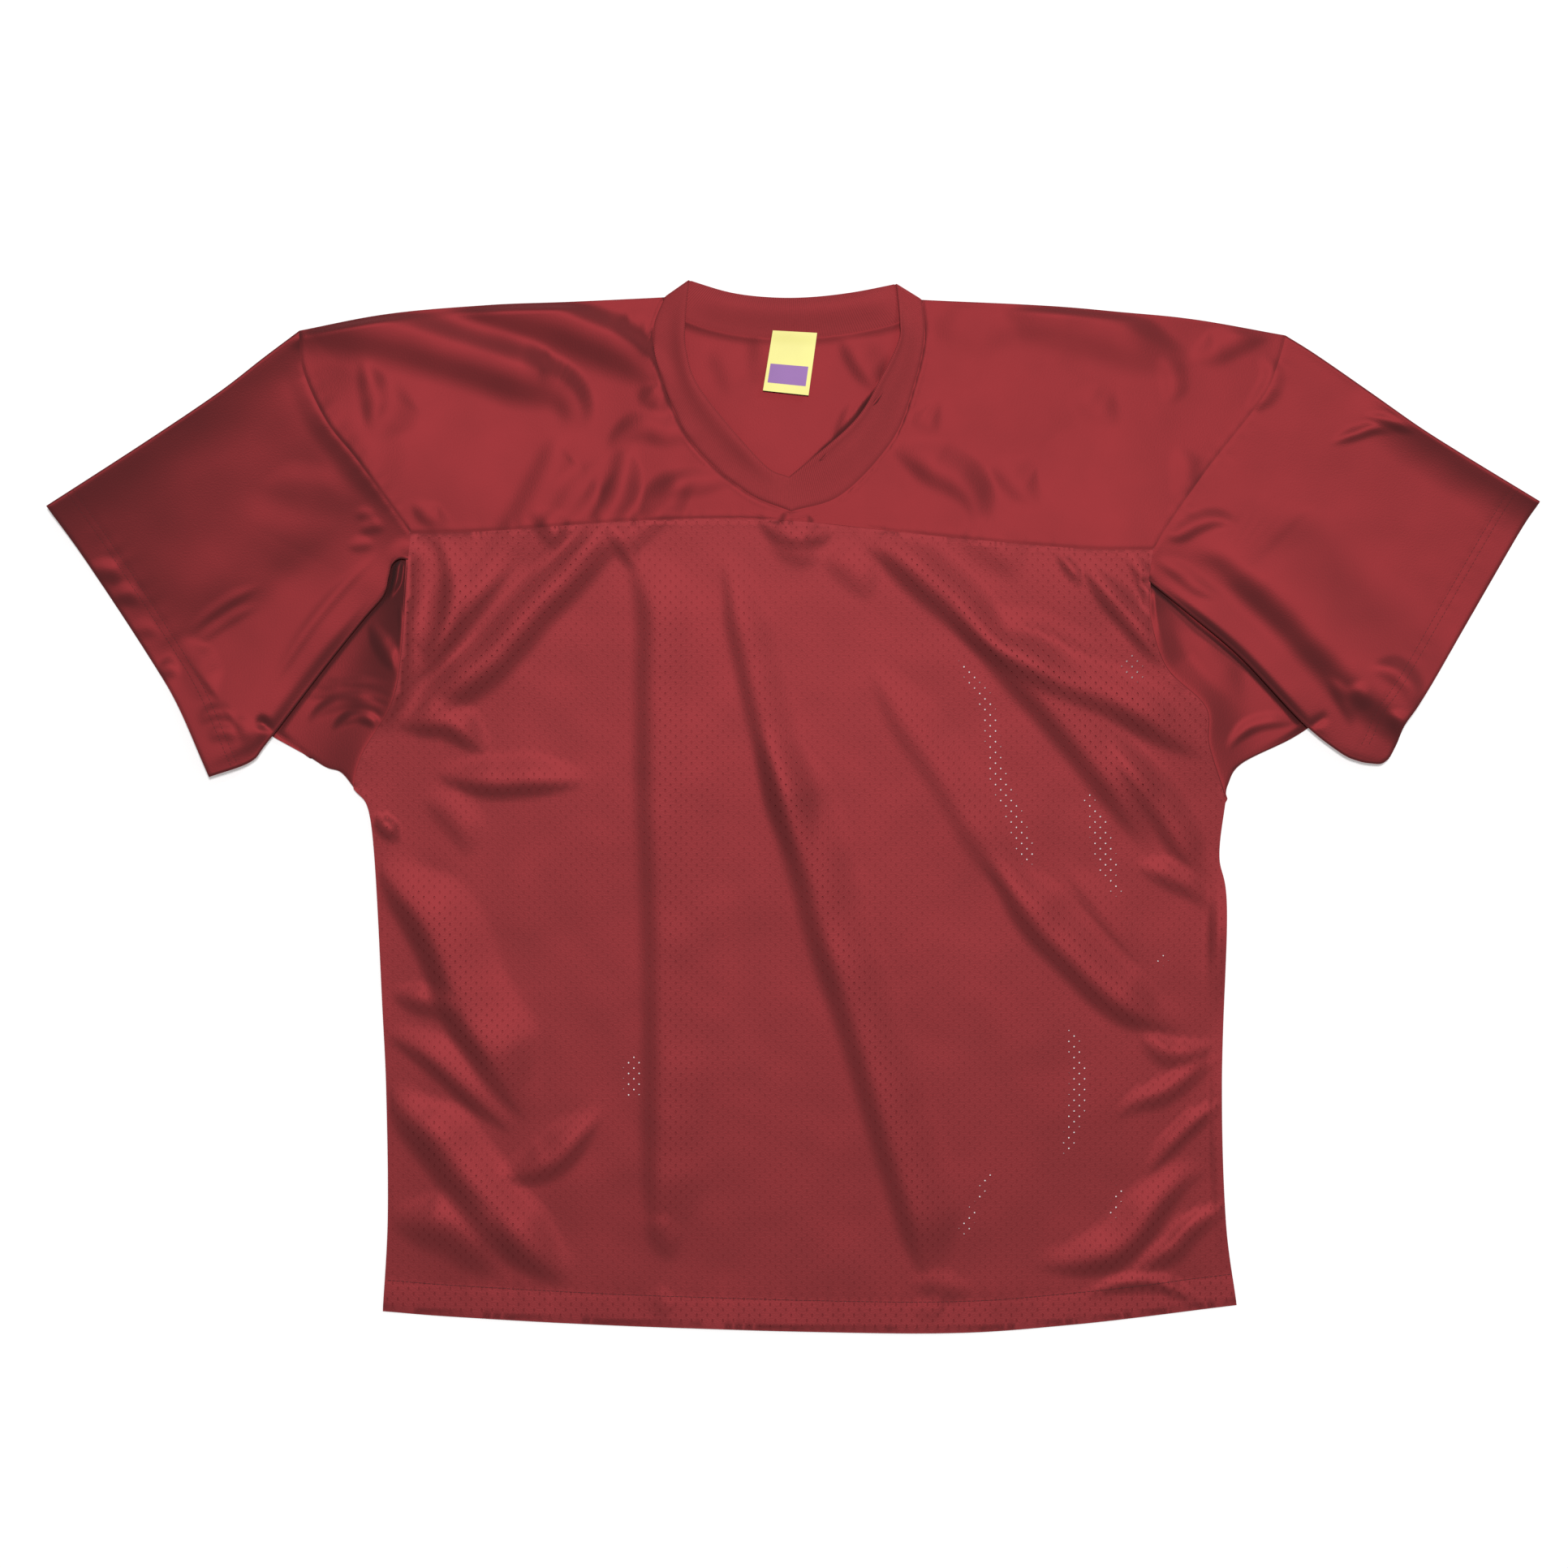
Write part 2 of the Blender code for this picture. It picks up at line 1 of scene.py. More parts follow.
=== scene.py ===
"""Looks of a V-neck football jersey laid flat with its front up.

Plan curves, folds and cloth sizes are in millimetres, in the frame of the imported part: +Z up,
+Y towards the neck, and the wearer's left at +X. Heights of the cloth come from one relief
that all front pieces share, so that seams meet. Every piece is placed on the surface z = 0.
"""
import math

import bpy
import numpy as np
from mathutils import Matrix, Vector
from mathutils.geometry import delaunay_2d_cdt


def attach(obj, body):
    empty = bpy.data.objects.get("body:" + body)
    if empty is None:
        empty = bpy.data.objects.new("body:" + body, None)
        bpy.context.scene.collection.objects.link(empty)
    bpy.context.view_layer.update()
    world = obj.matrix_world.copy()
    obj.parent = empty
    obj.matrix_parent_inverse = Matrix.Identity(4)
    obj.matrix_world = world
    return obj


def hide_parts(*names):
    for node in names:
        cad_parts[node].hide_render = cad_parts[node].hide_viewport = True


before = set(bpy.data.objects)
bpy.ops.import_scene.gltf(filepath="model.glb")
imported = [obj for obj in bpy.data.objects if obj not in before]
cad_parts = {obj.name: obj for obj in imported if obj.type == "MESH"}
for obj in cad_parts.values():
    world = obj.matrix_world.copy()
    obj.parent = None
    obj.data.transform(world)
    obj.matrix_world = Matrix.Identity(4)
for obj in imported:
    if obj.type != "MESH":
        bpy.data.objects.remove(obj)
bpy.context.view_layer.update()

MM = 0.001
SIDES = ("right", "left")

# Camera, floor and lights, in metres and watts. The lights aim at the origin.
VIEW_CENTRE = (-0.0079, 0.0185)
VIEW_SIDE = 1.275
LENS = 100.0
SENSOR = 36.0
FLOOR_REACH = 8.0
LIGHTS = (              # name, place, diameter, power
    ("key", (0.25, 1.6, 7.8), 1.4, 380.0),
    ("side", (2.6, 3.3, 2.4), 1.2, 42.0),
)

# Heights and thicknesses of the cloth
BACK_MESH = 1.15        # back mesh above the surface
BACK_EDGE_DROP = 0.2    # and how much lower it is at a closed edge
FRONT_MESH = 1.8        # front mesh over the back
CONTACT = 0.5           # least gap between the two layers of mesh
FRONT_DAZZLE = 2.3      # top of the front dazzle over the back
EDGE_MIDDLE = 1.2       # height at which front and back meet at a closed edge
SKIN = 0.7              # one layer of dazzle
FLOOR_GAP = 0.1         # least gap under a folded piece's lower wall
LAYER_GAP = 0.05        # between its two walls
YOKE_GAP = 0.1          # and between the two yokes
EDGE_ROLL = 3.0         # width of the roll at an outer edge
SHARP_ROLL = 1.2        # and at a sharply pressed one
NECK_WELT = 1.3         # seam allowance under the back yoke's neck edge
WELT_REACH = 4.0        # and its width

# Hems
HEM_DEPTH = 25.5        # edge of a hem or cuff to its stitches
CUFF_ROW = 20.0         # and to the second row of a cuff
TURN = 0.3              # thickness of the turned-up layer
TURN_INSET = 0.6        # how far inside the edge it begins
TURN_PAST = 1.0         # how far it goes past the stitches
TURN_ENDS = 0.004       # share of the hem's length that it leaves free at either end
TURN_GAP = 0.02         # least gap under it
HEM_GAP = 1.5           # from the top of the hem's outer layer to the top of the turned one
HEM_FULLNESS = 0.8      # rise of the hem, which is
HEM_CREST = 5.0         # full at this distance from its edge
HEM_FALL = 23.5         # and gone so much further in
HEM_GROOVE = (0.12, 3.0)        # depth and width of the groove of its stitches
CUFF_GROOVES = ((HEM_DEPTH, 0.10), (CUFF_ROW, 0.04))    # place and depth of a cuff's
CUFF_GROOVE_WIDTH = 1.4
CUFF_THREAD_SINK = 0.06         # how far a cuff's stitches sink in

# Folds, and what lifts the cloth
RIM_FADE = 7.0          # folds die out over this width at a closed edge
FOLD_END = 70.0         # a fold dies out over this length at either end,
FOLD_END_SHARE = 0.4    # or over this share of its length where that is less
TIP_WIDTH = 0.5         # share of its width that a fold keeps at its ends
FOLD_STEPS = 6          # points of a fold's curve from one knot to the next
SOFTNESS = 1.34         # widening of the folds' steep flanks
FULLNESS = 1.12         # growth of the folds' heights
BACK_FOLLOWS = 0.60     # share of the front's folds that the back cloth takes part in
LIFT_FOLLOWS = 0.85     # and of what lifts the edges and the sleeves
SLEEVE_LIFT = 3.7       # rise of the cloth over a folded gusset, which is
LIFT_FULL = 26.0        # full as far as this from the underarm fold
LIFT_END = 150.0        # and gone at this distance
UNEVENNESS = ((0.30, 20, 3), (0.10, 7, 4))      # height, blur in cells and seed
PUCKER_SEED = 40
PUCKER_PHASE = 0.9      # scatter of the gathers' places
PUCKER_SIZES = (0.3, 1.2)
PUCKER_ENDS = 12.0      # a row of gathers dies out over one in so many parts of its line,
RAISED_ENDS = 5.0       # and a raised edge over one in so many

# Seams: a groove with a low welt beside it
GROOVE_WIDTH = 1.3
WELT_SHARE = 0.25       # height of the welt, as a share of the groove's depth
WELT_AT = 3.6
WELT_WIDTH = 2.0
SEAM_REACH = 10.0
SEAM_TUCK = 1.5         # mesh hidden under the dazzle at a seam

# Sleeves and gussets
SLEEVE_GRAIN = 90.0     # angle of the sleeves' grain to the yokes', in degrees
NOSE_ANGLES = (75.0, 45.0, 15.0, -15.0, -45.0, -75.0)   # stations round a fold, in degrees
NOSE_ROWS = 2           # how many of the grid's outer rows these stations stand for
NOSE_BESIDE = 4         # row that tells them on which side the cloth lies
LOW_STRIDE = 3          # rows of the upper wall for each row of the hidden lower one
SEAM_EASE = 30.0        # how far a gusset takes to leave the body's height at their seam
GUSSET_TUCK = 11.0      # how far it goes under its sleeve,
TUCK_DIRECTION = (0.75, 0.66)   # outwards and up,
TUCK_START = (1.0, 0.55)        # and the same at its upper corner
TUCK_START_SHARE = 0.8          # for this share of that way
GUSSET_ROLL = 4.0       # width of the roll at its outer edge and its seam
GUSSET_DROP = 0.5       # how much lower it is there
GUSSET_FADE = 6.0       # its folds die out over this width at both

# Collar
COLLAR_ROWS = 130       # rows of points along either arm of the V, and along the back
COLLAR_BASE = 2.0       # height of the middle of the rib, before what follows
COLLAR_SETTLE = 0.6     # how far it settles into the cloth
COLLAR_ROLL = 0.5       # its rise from either edge,
COLLAR_ROLL_SHARE = 0.10        # over this share of the band's width
COLLAR_THICK = 1.5      # thickness, on top of
COLLAR_THIN = 0.1       # that at the inner edge
COLLAR_STAND = (4.0, 5.5)       # how high the inner edge stands up, on the right and on the left
COLLAR_FALL = (         # two shares of that stand that are lost outwards: share, start and width
    ((0.7, 0.08, 0.5), (0.3, 0.4, 0.6)),
    ((0.3, 0.0, 0.2), (0.7, 0.1, 0.9)),
)
BACK_STAND = 3.6        # how high the back half stands up
COLLAR_LOW, COLLAR_HIGH = 0.9, 2.6      # middles of the two halves where they meet
COLLAR_WIDTH = 26.0     # of the band's cloth coordinates
BAND_SHARES = (0.0, 0.02, 0.06, 0.12, 0.2, 0.32, 0.45, 0.6, 0.74, 0.86, 0.93, 0.97, 1.0)

# Label and its block
LABEL_CORNERS = ((-17, 387), (19, 385), (12, 334), (-25, 338))
LABEL_HEIGHT = 3.2      # at the seam
LABEL_DIP = 0.6         # how far it sinks below the seam,
LABEL_CURL = 2.6        # and curls up again towards its lower end,
LABEL_CORNER_CURL = 0.5         # and more at the corners there
LABEL_SKIN = 0.5
BLOCK_LIFT = 0.08       # top of the block over the label's
BLOCK_SKIN = 0.07
BLOCK_DOWN = (0.545, 0.86)      # from one share of the label's length to another,
BLOCK_ACROSS = (0.07, 0.91)     # and of its width

# Stitches
BEAD = ((0.0, 0.25), (0.25, 1.0), (0.75, 1.0), (1.0, 0.25))     # share of the length, and girth
BEAD_SIDES = 6
BEAD_RISE = 0.12        # of its middle over the cloth
NECK_TACK = ((-0.6, 400.0), (-0.4, 388.5))
TACK_HEIGHT = 2.9

# Fields over the plan, and grids of faces
PLAN_START = (-640.0, -460.0)
PLAN_SIZE = (1280, 920)
RELIEF_CELL = 1.5       # side of a cell of the relief,
BROAD_CELL = 10.0       # of the broad form,
SEAM_CELL = 0.8         # of the seams' grooves,
EDGE_CELL = 1.0         # and of the distances from edges,
EDGE_REACH = 8.0        # which are told so far from the outline,
HEM_REACH = 40.0        # and so far from the hem and the cuffs
PLATE_UNIT = 100.0      # unit of length of the broad form's thin plate
STEP = 2.2              # side of a face in the fine grids
BACK_STEP = 3.0         # and in the back yoke
EDGE_FACES = (0.0, 0.9, 2.0, 3.6)       # points of the narrow faces beside an edge
SHARP_ANGLE = 50.0      # in degrees, beyond which an edge is shaded as sharp
NORMAL_STEP = 1.4       # half of the length over which a slope is taken

# Mesh knit: staggered columns of oval holes
HOLE_COLUMN = 4.26
HOLE_ROW = 8.7
HOLE_SIZE = (1.6, 3.0)
HOLE_SIDES = 8
HOLE_MARGIN = 1.4       # least cloth between a hole and the panel's edge
OVERLAP = 0.64          # share of the way that holes move to fall on those of the other layer,
OVERLAP_FADE = 8.0      # fading out beside a strip of them
OVERLAP_RIM = 12.0      # and towards the panel's edge
TILE_COLUMNS = 18
TILE_ROWS = 9
TILE_MARGIN = 1.0       # an outline so near a tile takes part in it
OUTLINE_STEP = 4.0      # from one point of the outline to the next
MERGE = 1e-5            # points nearer than this are one
LEAST_AREA = 1e-4       # faces smaller than this are left out

CURVES = {
    "shoulder_right": [(-400, 385), (-329, 399), (-249, 407), (-183, 410), (-105, 414)],
    "shoulder_left": [(400, 383), (325, 396), (265, 402), (206, 407), (104, 412)],
    "neck_right": [(-105, 414), (-114, 388), (-109, 354), (-84, 298), (-40, 257), (-2, 240)],
    "neck_left": [(104, 412), (106, 382), (98, 344), (80, 298), (39, 254), (-2, 240)],
    "collar_inner_right": [(-85, 428), (-88, 395), (-87, 370), (-75, 338), (-26, 280), (-4, 268)],
    "collar_inner_left": [(83, 425), (86, 395), (85, 378), (71, 349), (48, 312), (-4, 268)],
    "back_neck_seam": [(-105, 414), (-88, 395), (-36, 382), (25, 382), (86, 394), (104, 412)],
    "back_neck_edge": [(-85, 428), (-52, 418), (-20, 414), (12, 414), (48, 418), (83, 425)],
    "armhole_right": [(-400, 385), (-397, 353), (-378, 312), (-352, 279), (-311, 222)],
    "armhole_left": [(400, 383), (393, 359), (380, 331), (335, 273), (305, 230), (292, 209)],
    "underarm_right": [(-311, 222), (-313, 200)],
    "underarm_left": [(292, 209), (288, 183)],
    "yoke_seam": [(-311, 222), (-249, 224), (-117, 233), (-10, 233), (118, 220), (232, 210),
        (292, 209)],
    "gusset_seam_right": [(-313, 200), (-317, 139), (-325, 87), (-350, 42), (-357, 15)],
    "gusset_seam_left": [(288, 183), (290, 150), (303, 112), (334, 81), (337, 50), (351, 6)],
    "side_right": [(-357, 15), (-343, -17), (-334, -170), (-331, -240), (-330, -334), (-334, -410)],
    "side_left": [(351, 6), (346, -40), (352, -83), (348, -225), (351, -334), (360, -405)],
    "hem": [(-334, -410), (-269, -415), (-111, -423), (107, -428), (226, -421), (360, -405)],
    "sleeve_top_right": [(-400, 385), (-428, 364), (-467, 334), (-527, 294), (-606, 244)],
    "sleeve_top_left": [(400, 383), (424, 368), (463, 341), (503, 312), (542, 287), (606, 248)],
    "cuff_right": [(-606, 244), (-575, 200), (-524, 122), (-500, 82), (-474, 24)],
    "cuff_left": [(606, 248), (588, 220), (531, 122), (507, 83), (495, 66), (489, 51), (483, 39)],
    "sleeve_fold_right": [(-313, 200), (-320, 201), (-326, 196), (-329, 185), (-333, 171),
        (-350, 151), (-382, 111), (-427, 52), (-441, 36), (-474, 24)],
    "sleeve_fold_left": [(288, 183), (323, 155), (363, 121), (412, 69), (443, 44), (458, 37),
        (469, 35), (477, 35), (483, 39)],
    "gusset_fold_right": [(-431, 68), (-408, 51), (-382, 33), (-368, 28), (-357, 15)],
    "gusset_fold_left": [(430, 72), (404, 55), (364, 35), (353, 18), (351, 6)],
}
OVER_GUSSET = {"right": 8, "left": 4}    # points of a sleeve's fold that lie over the gusset
SHARP_EDGES = ("shoulder_right", "shoulder_left", "sleeve_top_right", "sleeve_top_left")
CLOSED_EDGES = SHARP_EDGES + ("side_right", "side_left", "sleeve_fold_right", "sleeve_fold_left",
                              "gusset_fold_right", "gusset_fold_left")
SEAM_DEPTHS = {
    "armhole_right": 0.26, "armhole_left": 0.13, "underarm_right": 0.15, "underarm_left": 0.12,
    "yoke_seam": 0.40, "gusset_seam_right": 0.20, "gusset_seam_left": 0.15,
    "neck_right": 0.42, "neck_left": 0.34,
}

# Folds of the front cloth: name, height, width of the steep flank, width of the gentle flank,
# path. The gentle flank lies on the left hand of the path, and the steep flank is centred on it.
FOLDS = (
    # Right half of the chest and belly
    ("chest_right_upper", 2.7, 14, 34, [(-316, 98), (-291, 114), (-276, 134), (-260, 157),
     (-240, 181), (-220, 205)]),
    ("chest_right_lower", 3.5, 18, 26, [(-320, 67), (-292, 77), (-266, 90), (-242, 107),
     (-225, 125), (-200, 155), (-175, 180), (-150, 207), (-126, 230)]),
    ("rib_right_upper", 2.6, 12, 22, [(-327, 65), (-300, 62), (-283, 60), (-268, 52), (-248, 40)]),
    ("rib_right_lower", 2.7, 12, 26, [(-298, 28), (-270, 17), (-245, 12), (-220, 13), (-195, 15),
     (-162, 20)]),
    ("rib_right_short", 1.0, 14, 22, [(-305, 8), (-286, -10), (-273, -26), (-267, -44)]),
    ("gusset_line_right", 1.1, 10, 14, [(-298, 230), (-286, 203), (-283, 175), (-289, 142),
     (-305, 116)]),
    ("yoke_smudge_right", 1.1, 12, 16, [(-216, 240), (-203, 222), (-190, 206)]),
    ("drop_right_top", 1.3, 10, 14, [(-160, 236), (-147, 216), (-137, 201), (-126, 188)]),
    ("drop_right", 2.2, 17, 44, [(-140, 214), (-128, 180), (-122, 150), (-123, 100), (-122, 0),
     (-118, -100), (-117, -200), (-117, -300), (-113, -368)]),
    ("drop_faint", 0.6, 14, 30, [(-80, 190), (-78, 100), (-84, 0), (-82, -120), (-80, -260)]),
    ("drop_centre_top", 2.0, 14, 30, [(-60, 210), (-55, 180), (-52, 150), (-45, 120), (-38, 90),
     (-28, 50), (-15, 0), (5, -60)]),
    ("drop_centre", 3.4, 18, 42, [(-34, 70), (-28, 50), (-15, 0), (-5, -30), (5, -60), (12, -90),
     (25, -130), (45, -190), (60, -240), (75, -290), (88, -330), (98, -362), (112, -396)]),
    ("under_neck", 2.0, 12, 20, [(-34, 240), (-20, 222), (-4, 216), (14, 214), (28, 219),
     (38, 229)]),
    ("under_neck_low", 1.1, 14, 16, [(-26, 216), (-8, 205), (8, 199), (26, 201)]),
    ("under_neck_patch", 1.2, 16, 24, [(18, 204), (34, 192), (50, 178), (62, 164)]),
    ("chest_left_patch", 1.1, 18, 26, [(128, 214), (150, 206), (168, 194), (184, 180)]),
    ("side_knot_right", 1.9, 8, 10, [(-343, -6), (-334, -20), (-320, -30)]),
    ("waist_right", 4.4, 17, 48, [(-343, -40), (-327, -72), (-312, -95), (-300, -117), (-292, -136),
     (-285, -156), (-274, -180), (-261, -200), (-249, -219), (-235, -238), (-214, -260)]),
    ("waist_right_branch", 1.8, 12, 16, [(-330, -152), (-308, -163), (-290, -168), (-274, -179)]),
    ("hip_right_upper", 2.5, 11, 26, [(-338, -184), (-317, -196), (-300, -208), (-285, -221),
     (-266, -238), (-246, -254), (-226, -268)]),
    ("hip_right", 4.8, 20, 36, [(-336, -226), (-318, -257), (-300, -278), (-285, -298),
     (-270, -318), (-255, -337), (-240, -353), (-220, -369), (-200, -381), (-176, -390)]),
    ("hip_right_low", 3.0, 22, 30, [(-333, -337), (-305, -348), (-282, -355), (-262, -370),
     (-236, -386)]),
    ("belly_right", 2.5, 13, 25, [(-246, -303), (-215, -303), (-195, -297), (-180, -285),
     (-165, -265), (-151, -243)]),
    ("hem_right", 0.7, 14, 16, [(-126, -334), (-114, -350), (-98, -372)]),
    ("hem_pucker_right", 0.5, 12, 14, [(-120, -392), (-114, -403), (-107, -419)]),
    # Left half of the chest and belly
    ("chest_left_top", 3.4, 17, 30, [(42, 224), (58, 209), (75, 199), (100, 177), (126, 155),
     (150, 131), (178, 108)]),
    ("chest_left", 3.3, 17, 40, [(118, 162), (150, 131), (175, 103), (200, 75), (225, 45),
     (250, 14), (270, -14), (288, -42)]),
    ("rib_left", 3.3, 16, 30, [(140, 140), (160, 124), (185, 110), (215, 95), (250, 80), (280, 65),
     (303, 52), (338, 36)]),
    ("rib_left_upper", 0.45, 7, 14, [(160, 160), (200, 143), (240, 123), (270, 109)]),
    ("armpit_left_short", 1.1, 6, 9, [(212, 206), (221, 192), (234, 177)]),
    ("armpit_left", 2.4, 11, 18, [(228, 203), (250, 169), (270, 145), (290, 121), (304, 107)]),
    ("armpit_left_edge", 1.4, 8, 11, [(265, 208), (277, 190), (284, 170), (291, 146)]),
    ("flank_left", 2.6, 14, 26, [(250, 62), (264, 34), (281, 8), (293, -10), (304, -28), (316, -44),
     (330, -58), (338, -72)]),
    ("flank_left_low", 0.8, 10, 20, [(214, -42), (235, -75), (252, -98), (270, -120), (288, -140)]),
    ("side_left_upper", 1.5, 11, 16, [(274, -48), (290, -56), (306, -64), (322, -72), (338, -86)]),
    ("waist_left_top", 1.4, 16, 30, [(56, 122), (80, 70), (97, 44), (120, 10), (140, -25),
     (165, -60), (190, -92)]),
    ("waist_left", 3.5, 16, 34, [(148, -38), (165, -60), (181, -86), (196, -106), (212, -122),
     (230, -140), (246, -156), (264, -169), (282, -177), (300, -181), (322, -184)]),
    ("side_left_a", 1.7, 13, 13, [(276, -178), (286, -194), (300, -206), (318, -208), (334, -202),
     (347, -190)]),
    ("side_left_b", 1.5, 11, 12, [(258, -256), (280, -245), (298, -240), (314, -231), (332, -216),
     (350, -204)]),
    ("side_left_d", 1.5, 9, 11, [(284, -302), (304, -284), (318, -270), (340, -250), (356, -238)]),
    ("hip_left", 2.8, 14, 27, [(190, -375), (208, -376), (232, -377), (256, -373), (272, -364),
     (286, -350), (297, -334), (309, -318), (322, -305), (343, -295)]),
    ("hip_left_low", 1.9, 12, 12, [(272, -388), (294, -374), (312, -364), (325, -349), (345, -333),
     (360, -322)]),
    ("hem_left", 1.6, 7, 10, [(232, -400), (256, -394), (276, -391), (296, -391), (314, -398),
     (336, -406)]),
    ("hem_middle", 0.9, 12, 16, [(90, -384), (104, -393), (120, -397), (136, -397), (150, -391)]),
    ("hem_pucker_middle", 0.5, 14, 16, [(98, -401), (104, -410), (112, -421)]),
    # Yoke
    ("shoulder_right_lower", 6.7, 28, 26, [(-450, 400), (-420, 392), (-390, 382), (-360, 376),
     (-330, 370), (-300, 362), (-270, 353), (-250, 347), (-230, 340), (-210, 335), (-195, 331),
     (-186, 321), (-182, 300)]),
    ("shoulder_right_upper", 6.3, 28, 20, [(-310, 401), (-280, 398), (-250, 394), (-220, 389),
     (-200, 384), (-175, 374), (-150, 364), (-134, 356), (-118, 345), (-102, 326)]),
    ("shoulder_leaf_a", 0.5, 7, 9, [(-152, 398), (-144, 393), (-134, 389)]),
    ("shoulder_leaf_b", 0.5, 7, 9, [(-139, 392), (-131, 388), (-120, 383)]),
    ("collar_leaf_right", 1.2, 13, 14, [(-129, 340), (-118, 328), (-103, 316)]),
    ("blade_right", 1.1, 11, 14, [(-353, 364), (-349, 346), (-347, 328), (-345, 304)]),
    ("blade_right_soft", 1.2, 18, 26, [(-324, 352), (-333, 336), (-339, 320), (-345, 296)]),
    ("breast_right", 1.7, 20, 30, [(-176, 314), (-188, 303), (-198, 294), (-207, 276), (-217, 257),
     (-231, 233), (-246, 212), (-262, 186)]),
    ("collarbone_outer", 2.0, 18, 18, [(-146, 292), (-160, 281), (-174, 271), (-186, 257),
     (-198, 234), (-210, 212), (-222, 190)]),
    ("collarbone_right", 2.3, 18, 22, [(-128, 300), (-140, 289), (-148, 272), (-158, 250),
     (-170, 234), (-184, 212), (-198, 190)]),
    ("collarbone_top", 1.5, 13, 16, [(-150, 286), (-136, 297), (-122, 301), (-106, 297), (-88, 298),
     (-70, 300)]),
    ("collarbone_middle", 1.5, 15, 18, [(-74, 282), (-84, 275), (-97, 266), (-111, 252),
     (-126, 240), (-144, 222), (-164, 200)]),
    ("collarbone_low", 1.4, 12, 14, [(-126, 240), (-112, 250), (-98, 255), (-80, 256), (-60, 260),
     (-40, 266)]),
    ("armhole_dart_right", 1.0, 9, 14, [(-312, 248), (-304, 236), (-294, 229), (-276, 226)]),
    ("collarbone_left", 2.2, 16, 26, [(76, 293), (92, 280), (110, 267), (126, 259), (138, 250),
     (144, 238), (143, 224)]),
    ("collarbone_left_outer", 1.0, 13, 24, [(154, 280), (168, 265), (182, 252), (202, 242)]),
    ("breast_left_c", 0.6, 12, 14, [(308, 294), (312, 272), (308, 250)]),
    ("breast_left_d", 0.7, 14, 20, [(220, 332), (240, 319), (264, 307)]),
    ("collar_side_left", 0.6, 12, 20, [(92, 318), (102, 310), (118, 302)]),
    ("shoulder_left_soft", 3.8, 30, 24, [(150, 385), (185, 384), (215, 379), (248, 371), (280, 362),
     (304, 356), (328, 352)]),
    ("shoulder_left_inner", 1.1, 22, 30, [(104, 388), (128, 381), (152, 376), (184, 376)]),
    ("shoulder_left_tip", 1.5, 13, 20, [(318, 360), (344, 363), (366, 373), (392, 383)]),
    ("blade_left", 0.6, 10, 14, [(294, 366), (301, 352), (303, 340), (300, 326)]),
    ("armhole_left_fold", 0.9, 10, 12, [(376, 366), (384, 352), (378, 338), (366, 322)]),
    # Right sleeve
    ("sleeve_right_ridge", 1.9, 11, 100, [(-486, 28), (-450, 43), (-431, 57), (-386, 115),
     (-357, 151), (-340, 172)]),
    ("sleeve_right_bend", 1.3, 26, 60, [(-528, 112), (-500, 130), (-470, 154), (-440, 170),
     (-410, 194), (-385, 214), (-362, 238)]),
    ("sleeve_right_line", 0.7, 6, 8, [(-430, 86), (-410, 114), (-388, 146), (-366, 173),
     (-350, 190), (-331, 207)]),
    ("sleeve_right_diagonal", 0.8, 34, 40, [(-446, 338), (-424, 312), (-402, 290), (-376, 268)]),
    ("sleeve_right_streak", 0.5, 22, 20, [(-438, 250), (-404, 248), (-376, 242), (-356, 236)]),
    ("sleeve_right_thin_a", 0.6, 5, 8, [(-494, 138), (-456, 164), (-428, 180)]),
    ("sleeve_right_thin_b", 0.5, 5, 8, [(-488, 128), (-452, 152), (-430, 164)]),
    ("sleeve_right_seam", 1.8, 17, 42, [(-410, 366), (-404, 342), (-388, 312), (-366, 284),
     (-344, 256), (-318, 226)]),
    ("sleeve_right_armpit_a", 0.5, 6, 8, [(-364, 210), (-352, 209), (-338, 212)]),
    ("sleeve_right_armpit_b", 0.6, 6, 8, [(-354, 221), (-342, 224), (-330, 225)]),
    ("sleeve_right_armpit_c", 0.4, 6, 7, [(-358, 237), (-349, 234), (-338, 230)]),
    ("cuff_right_dark", 1.4, 18, 18, [(-504, 138), (-496, 118), (-488, 100), (-478, 80)]),
    ("cuff_right_leaf_a", 1.1, 10, 12, [(-576, 192), (-559, 186), (-542, 184)]),
    ("cuff_right_leaf_b", 1.0, 9, 11, [(-556, 168), (-542, 167), (-528, 166)]),
    ("cuff_right_leaf_c", 1.2, 10, 12, [(-520, 110), (-508, 107), (-496, 108)]),
    ("cuff_right_leaf_d", 0.5, 8, 9, [(-540, 142), (-528, 140), (-514, 140)]),
    ("cuff_right_arc_a", 0.9, 8, 9, [(-482, 64), (-468, 72), (-450, 69)]),
    ("cuff_right_arc_b", 0.8, 8, 8, [(-474, 51), (-463, 56), (-449, 53)]),
    ("cuff_right_arc_c", 0.6, 8, 9, [(-458, 70), (-450, 62), (-447, 50)]),
    # Left sleeve
    ("sleeve_left_trough", 4.6, 25, 80, [(316, 208), (345, 197), (362, 182), (380, 164), (400, 145),
     (416, 127), (432, 111), (446, 96), (464, 82), (484, 68), (520, 44), (560, 18)]),
    ("sleeve_left_ridge", 2.2, 6, 36, [(286, 185), (323, 155), (363, 121), (412, 69), (446, 42)]),
    ("sleeve_left_thin", 0.9, 8, 12, [(290, 201), (309, 187), (326, 174), (350, 165)]),
    ("sleeve_left_arc", 1.1, 8, 12, [(296, 216), (314, 217), (330, 225), (345, 229), (363, 226)]),
    ("sleeve_left_crease_a", 1.0, 5, 7, [(434, 293), (458, 300), (474, 305), (490, 303)]),
    ("sleeve_left_crease_b", 1.0, 5, 6, [(460, 317), (476, 312), (492, 307), (508, 303)]),
